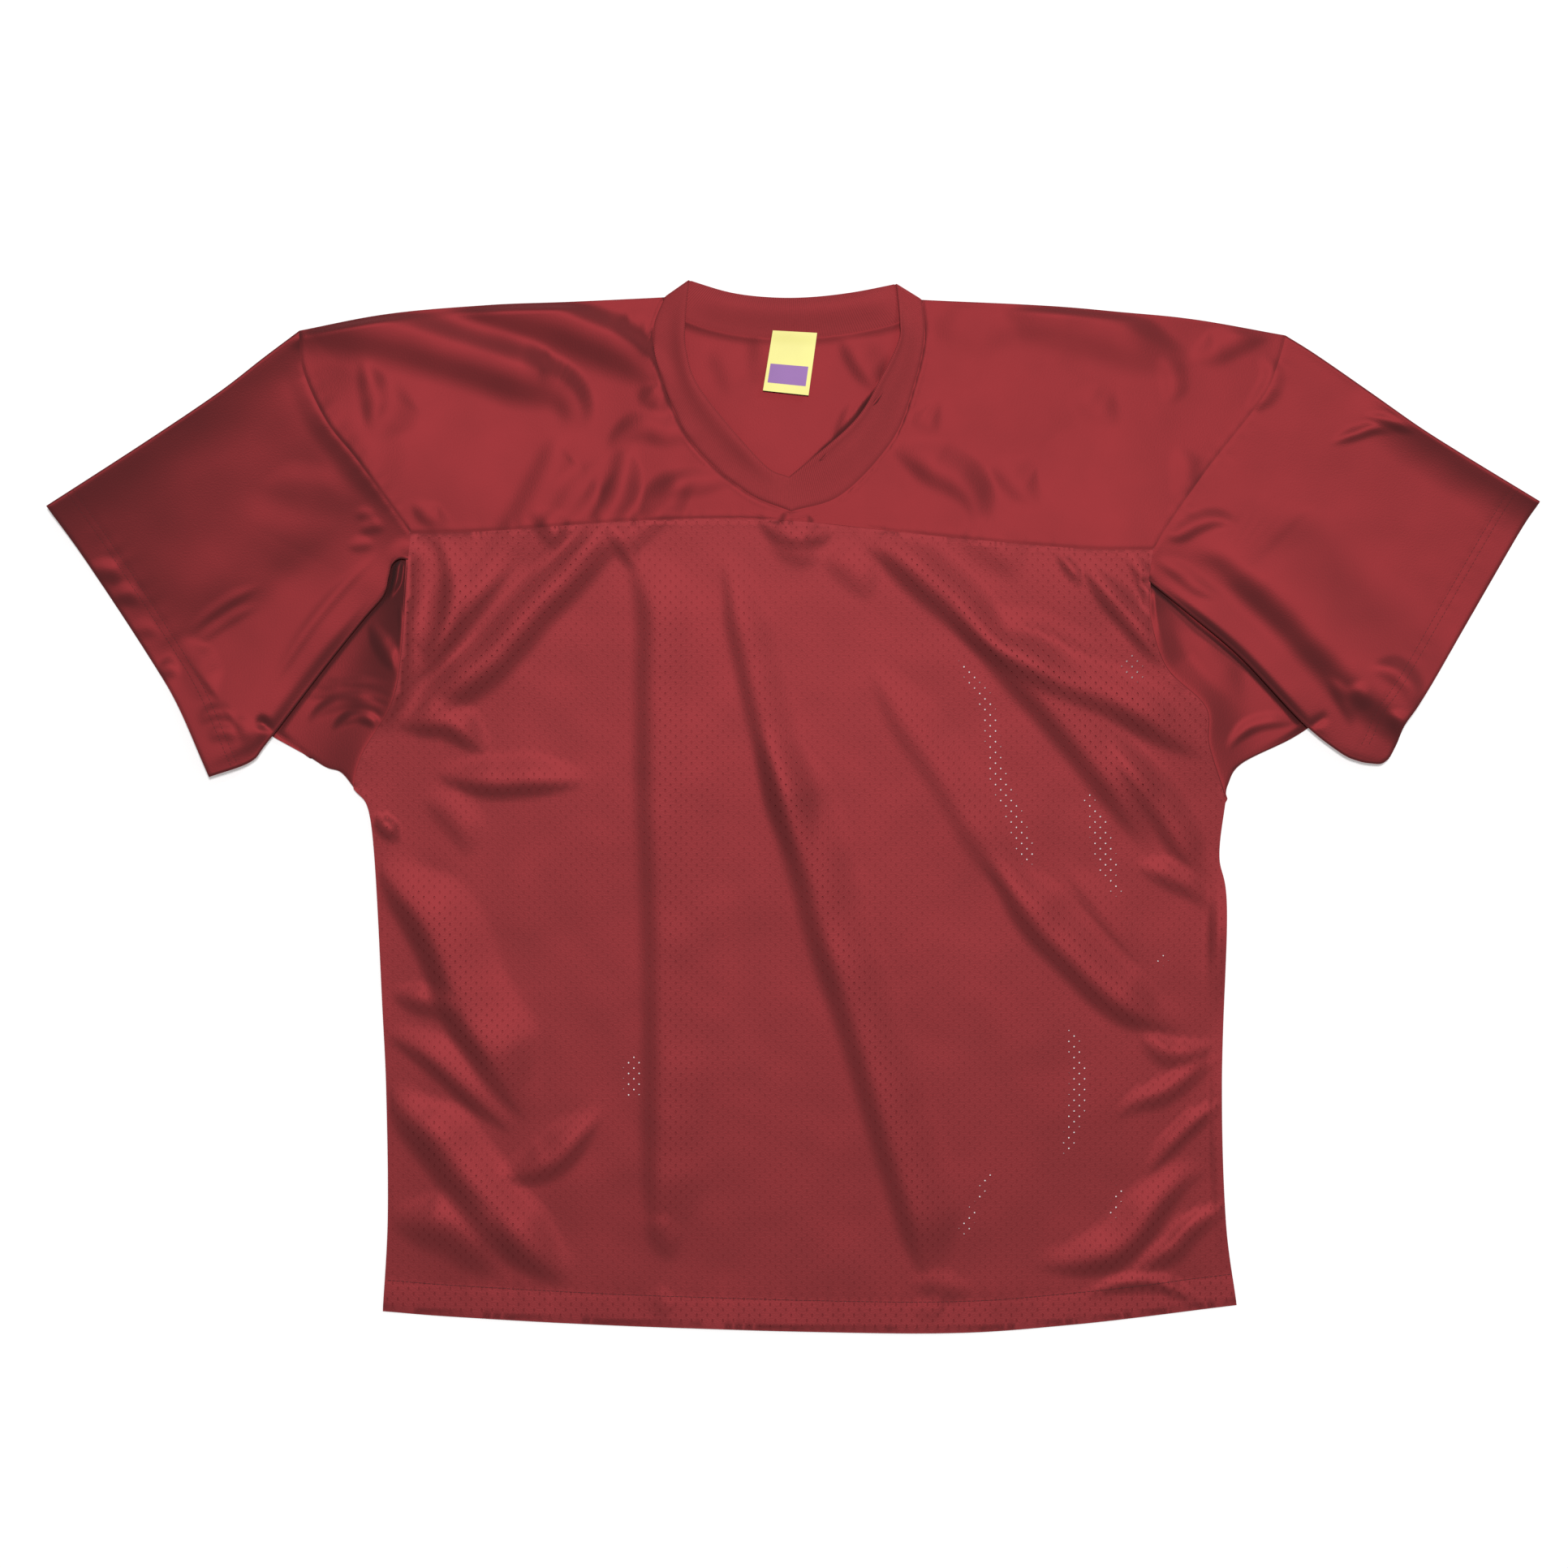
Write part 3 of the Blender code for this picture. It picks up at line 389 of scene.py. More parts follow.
    ("sleeve_left_line", 1.0, 6, 9, [(430, 106), (441, 88), (452, 64)]),
    ("cuff_left_a", 1.6, 12, 12, [(464, 112), (484, 104), (495, 92), (498, 76)]),
    ("cuff_left_b", 1.1, 10, 12, [(444, 94), (457, 85), (470, 80)]),
    ("cuff_left_c", 1.4, 8, 9, [(478, 78), (489, 62), (486, 44)]),
)

# Folds of the gussets and of the back yoke inside the neck, in the same form.
GUSSET_FOLDS = {
    "right": (
        ("line_upper", 0.9, 5, 7, [(-398, 97), (-376, 96), (-350, 98), (-326, 97)]),
        ("line_lower", 1.2, 5, 7, [(-400, 88), (-372, 89), (-345, 87), (-324, 83)]),
        ("band", 1.8, 8, 8, [(-394, 66), (-380, 76), (-362, 81), (-344, 79), (-328, 75)]),
        ("arc", 2.0, 6, 7, [(-374, 61), (-364, 67), (-353, 70), (-343, 67), (-333, 60)]),
        ("upright", 1.5, 4, 5, [(-321, 168), (-319, 152), (-319, 138), (-321, 124)]),
        ("hook", 1.7, 7, 12, [(-346, 150), (-339, 131), (-331, 118), (-321, 106)]),
        ("pocket", 5.0, 4, 5, [(-320, 210), (-323, 196), (-325, 184), (-330, 168)]),
    ),
    "left": (
        ("line", 1.5, 5, 10, [(352, 44), (364, 56), (380, 64), (412, 68)]),
        ("soft", 1.0, 14, 20, [(306, 150), (326, 124), (346, 100), (366, 82)]),
    ),
}
# Gaps between the gussets and the sleeves over them: rise of the gusset beside the gap, how far
# the rise reaches, and the gap's width at even steps along the sleeve's fold.
CREVICES = {
    "right": (0.8, 12, (5, 4, 3, 3, 3, 3, 5)),
    "left": (2.2, 24, (3, 7, 10, 8, 5, 4, 4)),
}
BACK_YOKE_FOLDS = (
    ("neck_inner", 1.3, 11, 26, [(34, 386), (42, 368), (52, 352), (64, 341), (78, 336)]),
    ("slit", 2.6, 5, 12, [(84, 366), (71, 341), (57, 324), (42, 306), (26, 290), (14, 280),
     (-2, 269)]),
    ("slit_upper", 3.4, 4, 10, [(78, 352), (70, 339), (60, 327), (52, 318)]),
    ("slit_lower", 3.4, 4, 10, [(33, 298), (26, 290), (18, 282), (10, 277)]),
    ("neck_inner_line", 0.6, 6, 12, [(50, 334), (42, 322), (36, 308), (32, 290)]),
    ("neck_right_soft", 0.6, 14, 24, [(-72, 372), (-62, 356), (-52, 330)]),
    ("label_shadow", 0.8, 14, 24, [(-30, 392), (-34, 366), (-36, 340)]),
)

# Parts of closed edges that stand up: curve, first and last share of it, height, width of the
# slope, and width of the level part beside the edge.
RAISED_EDGES = (
    ("sleeve_top_right", -0.3, 1.3, 3.0, 44, 0),
    ("shoulder_right", -0.3, 0.5, 2.6, 34, 0),
    ("sleeve_top_left", 0.28, 1.3, 5.0, 36, 0),
    ("shoulder_left", 0.0, 0.95, 1.4, 30, 0),
    ("side_left", 0.10, 0.44, 2.8, 12, 6),
    ("gusset_seam_right", -0.3, 0.75, 4.2, 22, 0),
    ("side_left", 0.42, 0.95, 1.3, 8, 4),
)

# Broad form of both layers together: plan point and height above the surface.
BROAD_FORM = (
    # Top edge of the right sleeve and the right shoulder
    (-606, 244, 7.5), (-560, 275, 11.3), (-500, 315, 15), (-440, 355, 15.8), (-400, 385, 15.5),
    (-340, 397, 12), (-280, 404, 8), (-200, 409, 4), (-105, 414, 0.5),
    # Right armhole
    (-390, 340, 12.2), (-370, 300, 10.8), (-350, 270, 8.5), (-325, 238, 4),
    # Right sleeve, from the foot of its slope
    (-590, 222, 5), (-550, 165, 0.6), (-500, 130, 0), (-470, 155, 0.3), (-440, 170, 1),
    (-410, 195, 2), (-385, 214, 3), (-350, 232, 4), (-485, 175, 2.8), (-455, 190, 3.1),
    (-425, 215, 4.4), (-398, 238, 5.8), (-490, 80, 3), (-430, 110, 1.8), (-474, 24, 6.5),
    # Yoke
    (-352, 345, 13.9), (-345, 302, 11), (-330, 330, 11.2), (-300, 290, 7), (-290, 350, 8),
    (-250, 300, 3.5), (-250, 350, 4.8), (-200, 300, 1.5), (-200, 350, 2), (-150, 300, 0),
    (-150, 370, 0.5), (-260, 240, 1), (-100, 330, 0),
    # Gusset, body and left side
    (-313, 200, 0), (-345, 185, 2.5), (-372, 140, 2), (-320, 100, 0), (-300, 160, 0),
    (-200, 180, 0), (-100, 200, 0), (-330, 0, 0), (-330, -200, 0), (-330, -400, 0),
    (-200, 0, 0), (-200, -200, 0), (-200, -400, 0), (0, 420, 0), (0, 300, 0), (0, 100, 0),
    (0, -150, 0), (0, -420, 0), (200, -400, 0), (200, -200, 0), (200, 0, 0), (200, 200, 0),
    (340, 0, 0), (340, -200, 0), (340, -400, 0), (200, 400, 0), (300, 300, 0), (400, 385, 0),
    (400, 200, 1), (480, 40, 5), (600, 245, 0), (500, 315, 0), (500, 180, 1.5),
)

# Strips where the holes of both layers fall on each other: width and path.
SEE_THROUGH = (
    (4, [(138, 117), (147, 102)]),
    (7, [(153, 94), (159, 76), (162, 52), (165, 28)]),
    (10, [(164, 34), (170, 16), (177, 0), (184, -20), (190, -38)]),
    (4, [(239, 10), (246, -6)]),
    (12, [(247, -10), (251, -28), (255, -46)]),
    (4, [(257, -52), (262, -66)]),
    (10, [(273, 119), (277, 111)]),
    (6, [(226, -184), (230, -204)]),
    (10, [(232, -212), (231, -236), (228, -252)]),
    (5, [(226, -258), (223, -276)]),
    (2, [(158, -298), (150, -316)]),
    (4, [(146, -326), (139, -341)]),
    (2, [(266, -308), (258, -332)]),
    (9, [(-131, -207), (-131, -228)]),
    (2, [(298, -124), (301, -121)]),
)

# Gathers along stitched lines: curve, distance inside it, first and last share of its length,
# wavelength, height and reach either side.
PUCKERS = (
    ("cuff_right", 22, 0.10, 0.98, 17, 0.16, 12),
    ("cuff_left", -22, 0.05, 0.98, 13, 0.08, 8),
    ("hem", 24, 0.01, 0.99, 16, 0.14, 10),
    ("armhole_right", 3, 0.05, 0.98, 13, 0.12, 8),
    ("armhole_left", 3, 0.05, 0.98, 14, 0.10, 8),
    ("yoke_seam", 0, 0.02, 0.98, 15, 0.10, 7),
    ("neck_right", 2, 0.10, 0.98, 12, 0.08, 6),
    ("neck_left", 2, 0.10, 0.98, 12, 0.08, 6),
)


# Curves -----------------------------------------------------------------------------------

def smooth(points, steps=16):
    """Catmull-Rom curve through the points, as a dense polyline."""
    knots = np.array(points, float)
    if len(knots) < 3:
        return knots
    padded = np.vstack([2 * knots[0] - knots[1], knots, 2 * knots[-1] - knots[-2]])
    t = np.linspace(0.0, 1.0, steps, endpoint=False)[:, None]
    spans = []
    for p0, p1, p2, p3 in zip(padded, padded[1:], padded[2:], padded[3:]):
        cubic = (3 * p1 - p0 - 3 * p2 + p3) * t ** 3 + (2 * p0 - 5 * p1 + 4 * p2 - p3) * t ** 2
        spans.append(p1 + 0.5 * (cubic + (p2 - p0) * t))
    return np.vstack(spans + [knots[-1:]])


def travelled(line):
    """Distance from a polyline's start at each of its points."""
    return np.concatenate([[0.0], np.cumsum(np.linalg.norm(np.diff(line, axis=0), axis=1))])


def at_lengths(line, lengths):
    """Points of a polyline at given distances from its start."""
    passed = travelled(line)
    return np.column_stack([np.interp(lengths, passed, values) for values in line.T])


def shares(line, values):
    """Points of a polyline at given shares of its length."""
    return at_lengths(line, np.asarray(values) * travelled(line)[-1])


def curve(name, steps=16):
    return smooth(CURVES[name], steps)


def underarm(side, steps=16):
    """The part of a sleeve's fold that lies over the gusset."""
    return smooth(CURVES["sleeve_fold_" + side][:OVER_GUSSET[side]], steps)


def join(*lines):
    return np.vstack([lines[0]] + [line[1:] for line in lines[1:]])


def offset(line, distance):
    """A line moved squarely to its left hand."""
    along = np.gradient(line, axis=0)
    along /= np.linalg.norm(along, axis=1)[:, None]
    return line + distance * np.column_stack([-along[:, 1], along[:, 0]])


def distance_to(line, x, y):
    """Distance to a polyline, side of it (+1 on the left hand), and the share of it passed."""
    best = np.full(np.shape(x), np.inf)
    side = np.ones(np.shape(x))
    share = np.zeros(np.shape(x))
    start = travelled(line)
    for begin, length, a, b in zip(start, np.linalg.norm(np.diff(line, axis=0), axis=1),
                                   line, line[1:]):
        along = (b - a) / length
        dx, dy = x - a[0], y - a[1]
        t = np.clip(dx * along[0] + dy * along[1], 0.0, length)
        far = np.hypot(dx - t * along[0], dy - t * along[1])
        nearer = far < best
        best = np.where(nearer, far, best)
        left = along[0] * dy - along[1] * dx >= 0.0
        side = np.where(nearer, np.where(left, 1.0, -1.0), side)
        share = np.where(nearer, (begin + t) / start[-1], share)
    return best, side, share


# Profiles ---------------------------------------------------------------------------------

def ease(value):
    """0 to 1 over the unit interval, softly at both ends."""
    value = np.clip(value, 0.0, 1.0)
    return value * value * (3.0 - 2.0 * value)


def ramp(value, rounding=0.4):
    """0 to 1 over the unit interval, even but for its rounded ends."""
    value = np.clip(value, 0.0, 1.0)
    mirrored = np.minimum(value, 1.0 - value)
    part = np.where(mirrored < rounding, mirrored ** 2 / (2 * rounding * (1.0 - rounding)),
                    (mirrored - rounding / 2) / (1.0 - rounding))
    return np.where(value < 0.5, part, 1.0 - part)


def rounded(value):
    """0 to 1 over the unit interval, rising like the side of a roll."""
    return np.sqrt(1.0 - (1.0 - np.clip(value, 0.0, 1.0)) ** 2)


def bell(value):
    return np.exp(-value ** 2)


def between(share, first, last, steepness):
    """1 between two shares of a line, easing to 0 at both."""
    return ease((share - first) * steepness) * ease((last - share) * steepness)


# Relief, held on a raster -----------------------------------------------------------------

def spline_weights(t):
    return (((1 - t) ** 3 / 6, -1), ((3 * t ** 3 - 6 * t ** 2 + 4) / 6, 0),
            ((-3 * t ** 3 + 3 * t ** 2 + 3 * t + 1) / 6, 1), (t ** 3 / 6, 2))


class Raster:
    """A field over the plan, sampled smoothly between its cells."""

    def __init__(self, cell):
        self.cell = cell
        self.x0, self.y0 = PLAN_START
        self.shape = (int(PLAN_SIZE[1] / cell) + 1, int(PLAN_SIZE[0] / cell) + 1)
        self.data = np.zeros(self.shape)

    def window(self, line, reach):
        """Rows and columns, and plan points, of the cells within reach of a line's box."""
        low = (line.min(0) - reach - PLAN_START) / self.cell
        high = (line.max(0) + reach - PLAN_START) / self.cell
        rows = slice(max(0, int(low[1])), min(self.shape[0], int(high[1]) + 2))
        columns = slice(max(0, int(low[0])), min(self.shape[1], int(high[0]) + 2))
        x, y = np.meshgrid(self.x0 + self.cell * np.arange(columns.start, columns.stop),
                           self.y0 + self.cell * np.arange(rows.start, rows.stop))
        return (rows, columns), x, y

    def nearest(self, lines, reach):
        """Distance to the nearest of some lines, up to reach."""
        self.data[:] = reach
        for line in lines:
            for a, b in zip(line, line[1:]):
                cells, x, y = self.window(np.array([a, b]), reach)
                far = distance_to(np.array([a, b]), x, y)[0]
                self.data[cells] = np.minimum(self.data[cells], far)
        return self

    def __call__(self, x, y):
        """Cubic B-spline of the cells at the given points."""
        u = (np.asarray(x) - self.x0) / self.cell
        v = (np.asarray(y) - self.y0) / self.cell
        column, row = np.floor(u).astype(int), np.floor(v).astype(int)
        total = np.zeros(np.shape(u))
        for wy, dy in spline_weights(v - row):
            for wx, dx in spline_weights(u - column):
                r = np.clip(row + dy, 0, self.shape[0] - 1)
                c = np.clip(column + dx, 0, self.shape[1] - 1)
                total += wx * wy * self.data[r, c]
        return total


def fold_form(fold, x, y):
    """One soft fold: a steep flank, a crest and a gentle flank, narrowing towards both ends."""
    _, height, steep, gentle, path = fold
    steep = SOFTNESS * steep
    line = smooth(path, FOLD_STEPS)
    far, side, share = distance_to(line, x, y)
    length = travelled(line)[-1]
    end = min(FOLD_END, FOLD_END_SHARE * length)
    ends = ease(share * length / end) * ease((1.0 - share) * length / end)
    across = far * side / (TIP_WIDTH + (1.0 - TIP_WIDTH) * ends)
    rise = ramp(across / steep + 0.5)
    fall = 1.0 - ease((across - steep / 2) / gentle)
    return FULLNESS * height * ends * np.where(across < steep / 2, rise, fall)


def add_fold(raster, fold):
    _, _, steep, gentle, path = fold
    cells, x, y = raster.window(smooth(path, FOLD_STEPS), steep + gentle)
    raster.data[cells] += fold_form(fold, x, y)


def add_pucker(raster, pucker, seed):
    """Uneven gathers along a stitched line."""
    name, inside_by, first, last, wavelength, height, reach = pucker
    line = curve(name, steps=8)
    cells, x, y = raster.window(line, abs(inside_by) + 3 * reach)
    far, side, share = distance_to(line, x, y)
    across = far * side - inside_by
    count = travelled(line)[-1] / wavelength
    knots = np.linspace(0.0, 1.0, int(count * 1.5) + 2)
    random = np.random.default_rng(PUCKER_SEED + seed)
    phase = np.interp(share, knots, random.normal(scale=PUCKER_PHASE, size=len(knots)))
    size = np.interp(share, knots, random.uniform(*PUCKER_SIZES, size=len(knots)))
    ends = between(share, first, last, PUCKER_ENDS)
    wave = np.sin(2 * np.pi * count * share + phase)
    raster.data[cells] += height * size * ends * wave * bell(across / reach)


def blurred(values, sigma):
    """Gaussian blur of an array along both axes, sigma in cells."""
    reach = int(3 * sigma) + 1
    kernel = np.exp(-0.5 * (np.arange(-reach, reach + 1) / sigma) ** 2)
    kernel /= kernel.sum()
    for axis in (0, 1):
        margin = [(reach, reach) if a == axis else (0, 0) for a in (0, 1)]
        padded = np.pad(values, margin, mode="edge")
        values = sum(k * np.take(padded, np.arange(i, i + values.shape[axis]), axis=axis)
                     for i, k in enumerate(kernel))
    return values


def soft_noise(shape, sigma, seed):
    """Smooth noise of unit spread."""
    noise = blurred(np.random.default_rng(seed).normal(size=shape), sigma)
    return noise / noise.std()


def make_relief():
    """Folds, unevenness and gathers, which die out at the closed edges."""
    raster = Raster(RELIEF_CELL)
    for fold in FOLDS:
        add_fold(raster, fold)
    raster.data += sum(height * soft_noise(raster.shape, blur, seed)
                       for height, blur, seed in UNEVENNESS)
    for seed, pucker in enumerate(PUCKERS):
        add_pucker(raster, pucker, seed)
    rim = Raster(RELIEF_CELL).nearest([curve(name, steps=6) for name in CLOSED_EDGES], RIM_FADE)
    raster.data *= ease(rim.data / RIM_FADE)
    return raster


def make_edge_lift():
    """How far the closed edges stand up off the surface, both layers together."""
    raster = Raster(RELIEF_CELL)
    for name, first, last, height, width, level in RAISED_EDGES:
        line = curve(name, steps=6)
        cells, x, y = raster.window(line, width + level)
        far, _, share = distance_to(line, x, y)
        fall = 1.0 - np.clip((far - level) / width, 0.0, 1.0)
        fall = ease(fall) if level else fall ** 2
        lift = height * between(share, first, last, RAISED_ENDS) * fall
        raster.data[cells] = np.maximum(raster.data[cells], lift)
    return raster


def make_broad_form():
    """Thin plate through the points of the broad form."""
    points = np.array(BROAD_FORM, float)
    plan, heights = points[:, :2] / PLATE_UNIT, points[:, 2]

    def bend(a, b):
        far = np.linalg.norm(a[:, None] - b[None], axis=2)
        return far ** 2 * np.log(np.maximum(far, 1e-9))

    flat = np.column_stack([np.ones(len(plan)), plan])
    system = np.block([[bend(plan, plan), flat], [flat.T, np.zeros((3, 3))]])
    weights = np.linalg.solve(system, np.concatenate([heights, np.zeros(3)]))
    raster = Raster(BROAD_CELL)
    y, x = np.mgrid[:raster.shape[0], :raster.shape[1]] * raster.cell
    where = np.column_stack([(x + raster.x0).ravel(), (y + raster.y0).ravel()]) / PLATE_UNIT
    values = np.hstack([bend(where, plan), np.ones((len(where), 1)), where]) @ weights
    raster.data = np.maximum(values, 0.0).reshape(raster.shape)
    return raster


def make_seam_dip():
    """A groove along each seam and a low welt beside it."""
    raster = Raster(SEAM_CELL)
    for name, depth in SEAM_DEPTHS.items():
        line = curve(name, steps=8)
        cells, x, y = raster.window(line, SEAM_REACH)
        far = distance_to(line, x, y)[0]
        welt = WELT_SHARE * bell((far - WELT_AT) / WELT_WIDTH)
        dip = depth * (welt - bell(far / GROOVE_WIDTH))
        there = raster.data[cells]
        raster.data[cells] = np.where(np.abs(dip) > np.abs(there), dip, there)
    return raster


def edge_distance(names, reach):
    return Raster(EDGE_CELL).nearest([curve(name, steps=8) for name in names], reach)


def make_outline_distance():
    """Distance to the outline, told larger along its sharply pressed edges."""
    outline = CLOSED_EDGES + ("hem", "cuff_right", "cuff_left")
    raster = edge_distance([name for name in outline if name not in SHARP_EDGES], EDGE_REACH)
    pressed = edge_distance(SHARP_EDGES, EDGE_REACH)
    raster.data = np.minimum(raster.data, EDGE_ROLL / SHARP_ROLL * pressed.data)
    return raster


RELIEF = make_relief()
BROAD = make_broad_form()
EDGE_LIFT = make_edge_lift()
SEAM_DIP = make_seam_dip()
OUTLINE_DISTANCE = make_outline_distance()
HEM_DISTANCE = edge_distance(["hem"], HEM_REACH)
CUFF_DISTANCE = edge_distance(["cuff_right", "cuff_left"], HEM_REACH)


# Heights of the cloth ---------------------------------------------------------------------

def base_lift(x, y):
    """How far both layers together are lifted off the surface, also by the folded gussets."""
    near = np.min([distance_to(underarm(side, steps=4), x, y)[0] for side in SIDES], axis=0)
    sleeve_lift = SLEEVE_LIFT * (1.0 - ease((near - LIFT_FULL) / (LIFT_END - LIFT_FULL)))
    return sleeve_lift + EDGE_LIFT(x, y) + BROAD(x, y)


def hem_form(x, y):
    """Fullness of the hem and the cuffs between their edges and the groove of their stitches."""
    far, cuff = HEM_DISTANCE(x, y), CUFF_DISTANCE(x, y)
    full = ease(far / HEM_CREST) * np.clip(1.0 - (far - HEM_CREST) / HEM_FALL, 0.0, 1.0)
    groove = HEM_GROOVE[0] * bell((far - HEM_DEPTH) / HEM_GROOVE[1])
    rows = sum(depth * bell((cuff - row) / CUFF_GROOVE_WIDTH) for row, depth in CUFF_GROOVES)
    return HEM_FULLNESS * full - groove - rows


def edge_roll(x, y):
    """0 at an outer edge, rising like the side of a roll to 1 a little way in."""
    return rounded(OUTLINE_DISTANCE(x, y) / EDGE_ROLL)


def front_surface(x, y, flat):
    """Top of the front cloth, with flat its height where nothing lifts it."""
    level = EDGE_MIDDLE + (flat - EDGE_MIDDLE) * edge_roll(x, y)
    return level + RELIEF(x, y) + base_lift(x, y) + SEAM_DIP(x, y) + hem_form(x, y)


def back_surface(x, y):
    """Top of the back mesh, which takes part in the front's relief."""
    level = BACK_MESH - BACK_EDGE_DROP * (1.0 - edge_roll(x, y))
    return level + BACK_FOLLOWS * RELIEF(x, y) + LIFT_FOLLOWS * base_lift(x, y)


def body_top(x, y):
    """Top of the front mesh."""
    return np.maximum(front_surface(x, y, FRONT_MESH), back_surface(x, y) + CONTACT)


def normals_of(surface, x, y):
    """Unit normals of a surface over plan points, so that the holes don't disturb its shading."""
    step = NORMAL_STEP
    slope_x = (surface(x + step, y) - surface(x - step, y)) / (2 * step)
    slope_y = (surface(x, y + step) - surface(x, y - step)) / (2 * step)
    normals = np.column_stack([-slope_x, -slope_y, np.ones(len(x))])
    return normals / np.linalg.norm(normals, axis=1)[:, None]


# Meshes -----------------------------------------------------------------------------------

def place(obj, node=None):
    """Fasten a piece to the frame, in the place of a CAD node where it stands for one."""
    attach(obj, "root")
    if node:
        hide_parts(node)


def mesh_object(name, vertices, faces, material, uv=None, smooth_angle=SHARP_ANGLE):
    """A mesh object from vertices in millimetres. uv holds their cloth coordinates in metres."""
    mesh = bpy.data.meshes.new(name)
    mesh.from_pydata(np.asarray(vertices, float) * MM, [], faces)
    if uv is not None:
        layer = mesh.uv_layers.new(name="cloth")
        corners = np.zeros(len(mesh.loops), np.int32)
        mesh.loops.foreach_get("vertex_index", corners)
        layer.data.foreach_set("uv", np.asarray(uv, np.float32)[corners].ravel())
    mesh.materials.append(material)
    mesh.shade_smooth()
    mesh.set_sharp_from_angle(angle=math.radians(smooth_angle))
    obj = bpy.data.objects.new(name, mesh)
    bpy.context.scene.collection.objects.link(obj)
    return obj


def skins(name, upper, lower, material, uv, closed=False):
    """Closed shell between two grids of points alike. closed joins the last row to the first."""
    rows, columns = upper.shape[:2]
    index = np.arange(rows * columns).reshape(rows, columns)
    if closed:
        index = np.vstack([index, index[:1]])
    top = np.stack([index[:-1, :-1], index[:-1, 1:], index[1:, 1:], index[1:, :-1]], axis=-1)
    top = top.reshape(-1, 4)
    low = top[:, ::-1] + rows * columns
    under = index + rows * columns
    rims = [(index[:, 0], under[:, 0]), (index[::-1, -1], under[::-1, -1])]
    if not closed:
        rims += [(index[0, ::-1], under[0, ::-1]), (index[-1], under[-1])]
    sides = [np.stack([a[1:], a[:-1], b[:-1], b[1:]], axis=-1) for a, b in rims]
    faces = np.concatenate([top, low] + sides)[:, ::-1]
    vertices = np.concatenate([upper.reshape(-1, 3), lower.reshape(-1, 3)])
    coordinates = np.concatenate([uv.reshape(-1, 2), uv.reshape(-1, 2)])
    return mesh_object(name, vertices, faces.tolist(), material, coordinates)


def coons(top, bottom, left, right, u, v):
    """Plan grid between four edges, at the given shares along and down."""
    u3, v3 = np.asarray(u)[None, :, None], np.asarray(v)[:, None, None]
    above, below = shares(top, u)[None], shares(bottom, u)[None]
    start, end = shares(left, v)[:, None], shares(right, v)[:, None]
    corners = ((1 - v3) * ((1 - u3) * top[0] + u3 * top[-1])
               + v3 * ((1 - u3) * bottom[0] + u3 * bottom[-1]))
    return (1 - v3) * above + v3 * below + (1 - u3) * start + u3 * end - corners


def spread(length, step=STEP):
    """Shares of a length: three narrow faces at either end, and even ones between."""
    narrow = np.array(EDGE_FACES) / length
    count = max(2, int(round((1.0 - 2 * narrow[-1]) * length / step)))
    even = np.linspace(narrow[-1], 1 - narrow[-1], count + 1)[1:-1]
    return np.concatenate([narrow, even, (1 - narrow)[::-1]])


def grain(plan, angle=0.0):
    """Cloth coordinates in metres, turned by an angle in degrees."""
    c, s = math.cos(math.radians(angle)), math.sin(math.radians(angle))
    x, y = plan[..., 0] * MM, plan[..., 1] * MM
    return np.stack([c * x + s * y, -s * x + c * y], axis=-1)


def lift_to(plan, height):
    """Points over a plan."""
    return np.concatenate([plan, height[..., None]], axis=-1)


def shell(name, grid, over, thickness, finish, node):
    """A closed shell of cloth under the heights over a plan grid."""
    made = skins(name, lift_to(grid, over), lift_to(grid, over - thickness), FINISH[finish],
                 grain(grid))
    place(made, node)
    return made


def wall(name, stations, closed, node, finish="dazzle", thickness=SKIN, uv=None, turn=0.0):
    """A shell of cloth about stations of middle points and their normals."""
    middle, normal = (np.array(part) for part in zip(*stations))
    half = normal * np.reshape(thickness, (1, -1, 1)) / 2
    uv = grain(middle, turn) if uv is None else uv
    made = skins(name, middle + half, middle - half, FINISH[finish], uv, closed)
    place(made, node)
    return made


def station(plan, height, direction):
    return lift_to(plan, height), np.tile((0.0, 0.0, direction), (len(plan), 1))


def nose(edge, beside, high, low):
    """Stations round a fold between two layers: middle points and normals, top to bottom."""
    along = np.gradient(edge, axis=0)
    inward = np.column_stack([-along[:, 1], along[:, 0]])
    inward *= np.sign(np.sum(inward * (beside - edge), axis=1))[:, None]
    inward /= np.linalg.norm(inward, axis=1)[:, None]
    radius = (high - low)[:, None] / 2
    centre = edge + inward * (radius + SKIN / 2)
    stations = []
    for angle in np.radians(NOSE_ANGLES):
        plan = centre - inward * radius * np.cos(angle)
        height = (high + low)[:, None] / 2 + radius * np.sin(angle)
        normal = np.column_stack([-inward * np.cos(angle), np.full(len(edge), np.sin(angle))])
        stations.append((np.column_stack([plan, height]), normal))
    return stations


# Mesh knit --------------------------------------------------------------------------------

def inside(points, outline):
    """Whether each point lies inside a closed polyline."""
    x, y = points[:, 0][:, None], points[:, 1][:, None]
    a, b = outline, np.roll(outline, -1, axis=0)
    crosses = (a[:, 1] > y) != (b[:, 1] > y)
    with np.errstate(divide="ignore", invalid="ignore"):
        at = a[:, 0] + (y - a[:, 1]) * (b[:, 0] - a[:, 0]) / (b[:, 1] - a[:, 1])
    return (np.sum(crosses & (x < at), axis=1) % 2) == 1


def rim_distance(outline, x, y):
    """Distance to a closed polyline."""
    return distance_to(np.vstack([outline, outline[:1]]), x, y)[0]


